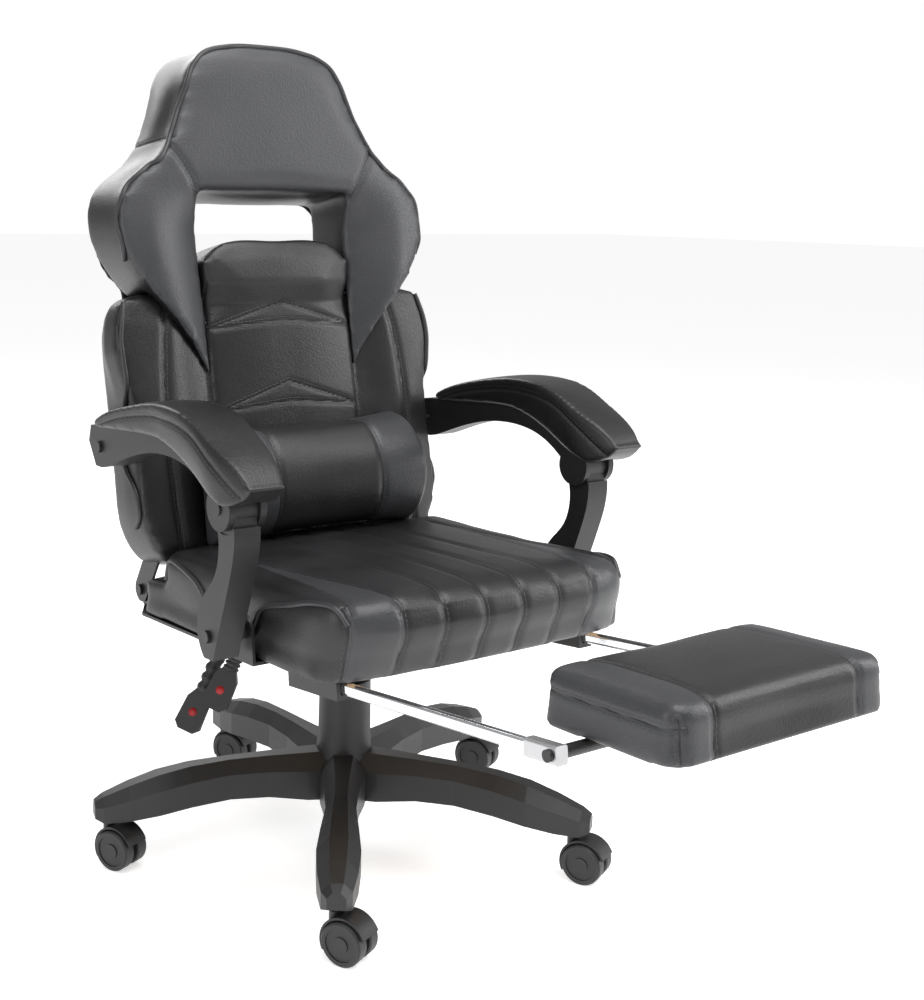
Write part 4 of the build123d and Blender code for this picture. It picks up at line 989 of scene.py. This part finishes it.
# %% Lumbar pillow
END_START = 0.13
END_SHARE = 0.70
PILLOW_SEAM = 0.088
pillow = foam_copy("lumbar_pillow_cover", ["lumbar_pillow"], 0.005)
soften(pillow, 4)
inflate(pillow, 5.0, 0.010)
points = points_of(pillow)
across = np.abs(points[:, 0])
drawn_in = np.where(across > END_START, END_START + (across - END_START) * END_SHARE, across)
points[:, 0] = np.sign(points[:, 0]) * drawn_in
move_points(pillow, points)
subdivide(pillow)
tailor = Tailor(pillow, BACK)
for side in (1, -1):
    for view, low, high in ((FRONT_VIEW, 0.04, 0.28), (TOP_VIEW, -0.12, 0.03)):
        line = straight_line([(side * PILLOW_SEAM, low), (side * PILLOW_SEAM, high)])
        tailor.seam(view, line, 0.0025, 0.006, facing=0.3)
    end = np.array([(PILLOW_SEAM, 0.0), (0.25, 0.0), (0.25, 0.3), (PILLOW_SEAM, 0.3)]) * (side, 1)
    tailor.panel(FRONT_VIEW, end)
pillow = tailor.finish()
shade(pillow, black_leather, "black_leather", "back", "lumbar_pillow")

# %% Footrest pad
PAD_SEAM = 0.108
pad = foam_copy("footrest_cushion_cover", ["footrest_cushion"], 0.005)
soften(pad, 2)
pad_start = points_of(pad)
inflate(pad, 4.0, 0.006)
held_flat(pad, pad_start, PAD, 0.012)
subdivide(pad)
tailor = Tailor(pad, PAD)
pad_top = np.array([(-0.16, -0.12), (0.16, -0.12), (0.16, 0.06), (-0.16, 0.06)])
tailor.crown(TOP_VIEW, pad_top, 0.006, reach=0.09)
for side in (1, -1):
    for view, low, high in ((TOP_VIEW, -0.18, 0.06), (FRONT_VIEW, 0.0, 0.06)):
        line = straight_line([(side * PAD_SEAM, low), (side * PAD_SEAM, high)])
        tailor.seam(view, line, 0.0022, 0.005, facing=0.4)
    corner = straight_line([(side * 0.150, 0.0), (side * 0.150, 0.056)])
    tailor.seam(FRONT_VIEW, corner, 0.0015, 0.004, facing=0.3)
    top_stitching = straight_line([(-0.124, 0.046), (0.064, 0.046)])
    tailor.seam(from_side(side), top_stitching, 0.0015, 0.004, facing=0.3)
    end = np.array([(PAD_SEAM, -0.25), (0.25, -0.25), (0.25, 0.15), (PAD_SEAM, 0.15)]) * (side, 1)
    tailor.panel(TOP_VIEW, end)
pad = tailor.finish()
shade(pad, black_leather, "black_leather", "footrest_pad", "footrest_cushion")

# %% Arm pads
ARM_PAD_MIDDLE = 0.287
NOSE_START = -0.175


def round_nose(piece, side):
    """Narrow the front end of an arm pad and lift its underside."""
    points = points_of(piece)
    local = into_view(SEAT, SIDE_VIEW, points)
    forward = np.clip((NOSE_START - local[:, 0]) / 0.08, 0, 1)
    points[:, 0] += (side * ARM_PAD_MIDDLE - points[:, 0]) * 0.34 * forward**2
    under = np.clip((0.236 - local[:, 1]) / 0.02, 0, 1)
    move_points(piece, points + direction(SEAT, (0, 0, 1)) * (0.012 * forward * under)[:, None])


for side, name in ((-1, "right"), (1, "left")):
    arm_pad = foam_copy(f"arm_pad_cover_{name}", [f"arm_pad_{name}"], 0.004)
    soften(arm_pad, 3)
    inflate(arm_pad, 4.0, 0.005)
    round_nose(arm_pad, side)
    subdivide(arm_pad)
    tailor = Tailor(arm_pad, SEAT)
    stitched = bend_line(
        [
            (0.126, 0.268), (0.09, 0.279), (0.027, 0.292), (-0.06, 0.299), (-0.140, 0.289), (-0.196, 0.258),
            (-0.245, 0.221),
        ]
    )  # fmt: skip
    for face in (1, -1):
        tailor.seam(from_side(face), stitched, 0.0015, 0.004, facing=0.3)
    arm_pad = tailor.finish()
    shade(arm_pad, black_leather, "black_leather", f"arm_{name}", f"arm_pad_{name}")

# %% [markdown]
# ## Levers
# Each lever is a rod with a flat paddle moulded on its end, and a ribbed rubber sleeve covers the bend between
# them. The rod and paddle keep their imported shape. The sleeve is a profile of rings turned about the lever's
# own line, and a small red disc marks each paddle.

# %% Lever sleeves and marks
# The body, the rod's place behind and below the seat's foot, and the length of the neck above the paddle.
LEVERS = (("height_lever", 0.034, 0.047, 0.020), ("recline_lever", 0.078, 0.050, 0.061))
LEVER_DOWN = Vector((-0.40, 0.08, -0.91)).normalized()
LEVER_FACE = Vector((-0.64, -0.62, 0.35)).normalized()
PADDLE_DOWN = (LEVER_DOWN - LEVER_FACE * LEVER_DOWN.dot(LEVER_FACE)).normalized()
ROD_REACH = 0.160
SLEEVE_RINGS = 5
SLEEVE_RADIUS = 0.0082
RING_RADIUS = 0.0112
SLEEVE_OVERLAP = 0.008
MARK_DOWN = 0.034
PADDLE_HALF_THICKNESS = 0.0045


def sleeve(name, top, direction, length):
    """A ribbed sleeve, turned about the lever's line."""
    profile = []
    for ring in range(SLEEVE_RINGS):
        start = ring / SLEEVE_RINGS
        for share, radius in ((0.0, SLEEVE_RADIUS), (0.35, RING_RADIUS), (0.65, RING_RADIUS)):
            profile.append((radius, (start + share / SLEEVE_RINGS) * length))
    profile.append((SLEEVE_RADIUS, length))
    bm = bmesh.new()
    rim = [bm.verts.new((radius, 0, down)) for radius, down in profile]
    edges = [bm.edges.new(pair) for pair in zip(rim, rim[1:])]
    bmesh.ops.spin(
        bm, geom=rim + edges, cent=(0, 0, 0), axis=(0, 0, 1), angle=2 * math.pi, steps=20, use_merge=True
    )
    bmesh.ops.recalc_face_normals(bm, faces=bm.faces)
    turn = direction.to_track_quat("Z", "Y").to_matrix().to_4x4()
    bmesh.ops.transform(bm, matrix=Matrix.Translation(top) @ turn, verts=bm.verts)
    return from_bmesh(name, bm)


def disc(name, middle, facing, radius):
    """A thin round plate."""
    bm = bmesh.new()
    bmesh.ops.create_circle(bm, cap_ends=True, segments=24, radius=radius)
    lifted = bmesh.ops.extrude_face_region(bm, geom=list(bm.faces))
    upper = [v for v in lifted["geom"] if isinstance(v, bmesh.types.BMVert)]
    bmesh.ops.translate(bm, verts=upper, vec=(0, 0, 0.0006))
    bmesh.ops.recalc_face_normals(bm, faces=bm.faces)
    turn = facing.to_track_quat("Z", "Y").to_matrix().to_4x4()
    bmesh.ops.transform(bm, matrix=Matrix.Translation(middle) @ turn, verts=bm.verts)
    return from_bmesh(name, bm)


def from_bmesh(name, bm):
    mesh = bpy.data.meshes.new(name)
    bm.to_mesh(mesh)
    bm.free()
    piece = bpy.data.objects.new(name, mesh)
    bpy.context.scene.collection.objects.link(piece)
    return piece


for body, rod_y, drop, neck in LEVERS:
    rod_end = SEAT @ Vector((-ROD_REACH, rod_y, -drop))
    top = rod_end - LEVER_DOWN * SLEEVE_OVERLAP
    ribbed = sleeve(f"{body}_sleeve", top, LEVER_DOWN, neck + 1.5 * SLEEVE_OVERLAP)
    shade(ribbed, cover_plastic, "black_nylon", body)
    mark = rod_end + LEVER_DOWN * neck + PADDLE_DOWN * MARK_DOWN + LEVER_FACE * PADDLE_HALF_THICKNESS
    shade(disc(f"{body}_mark", mark, LEVER_FACE, 0.006), red_mark, "black_nylon", body)

# %% [markdown]
# ## Finishes of the bare parts
# Every moulded, turned and pressed part that keeps its own shape still gets its finish here.

# %% Finishes
FINISH = {
    "star_base": base_nylon,
    "lower_column_cover": cover_plastic,
    "upper_column_cover": cover_plastic,
    "gas_cylinder": black_coat,
    "gas_piston": chrome,
    "mechanism_housing": black_coat,
    "mounting_plate": black_coat,
    "mechanism_bolts": zinc,
    "seat_board": raw_plywood,
    "side_frame": black_coat,
    "pivot_bolts": black_coat,
    "rail_guide": black_coat,
    "height_lever": cover_plastic,
    "recline_lever": cover_plastic,
    "back_frame": black_coat,
    "rear_arm_bolts": black_coat,
    "arm_frame": arm_nylon,
    "arm_pivot_pin": black_coat,
    "arm_post": arm_nylon,
    "footrest_rail": chrome,
    "rail_end": zinc,
    "footrest_bar": black_coat,
    "footrest_board": raw_plywood,
    "caster_hood": base_nylon,
    "caster_pins": zinc,
    "caster_wheel": wheel_nylon,
}
for node_name, node in frame["nodes"].items():
    fitting = [key for key in FINISH if node_name.startswith(key)]
    if fitting:
        node.data.materials.clear()
        node.data.materials.append(FINISH[max(fitting, key=len)])
    elif not node.hide_render:
        print("no finish for", node_name)
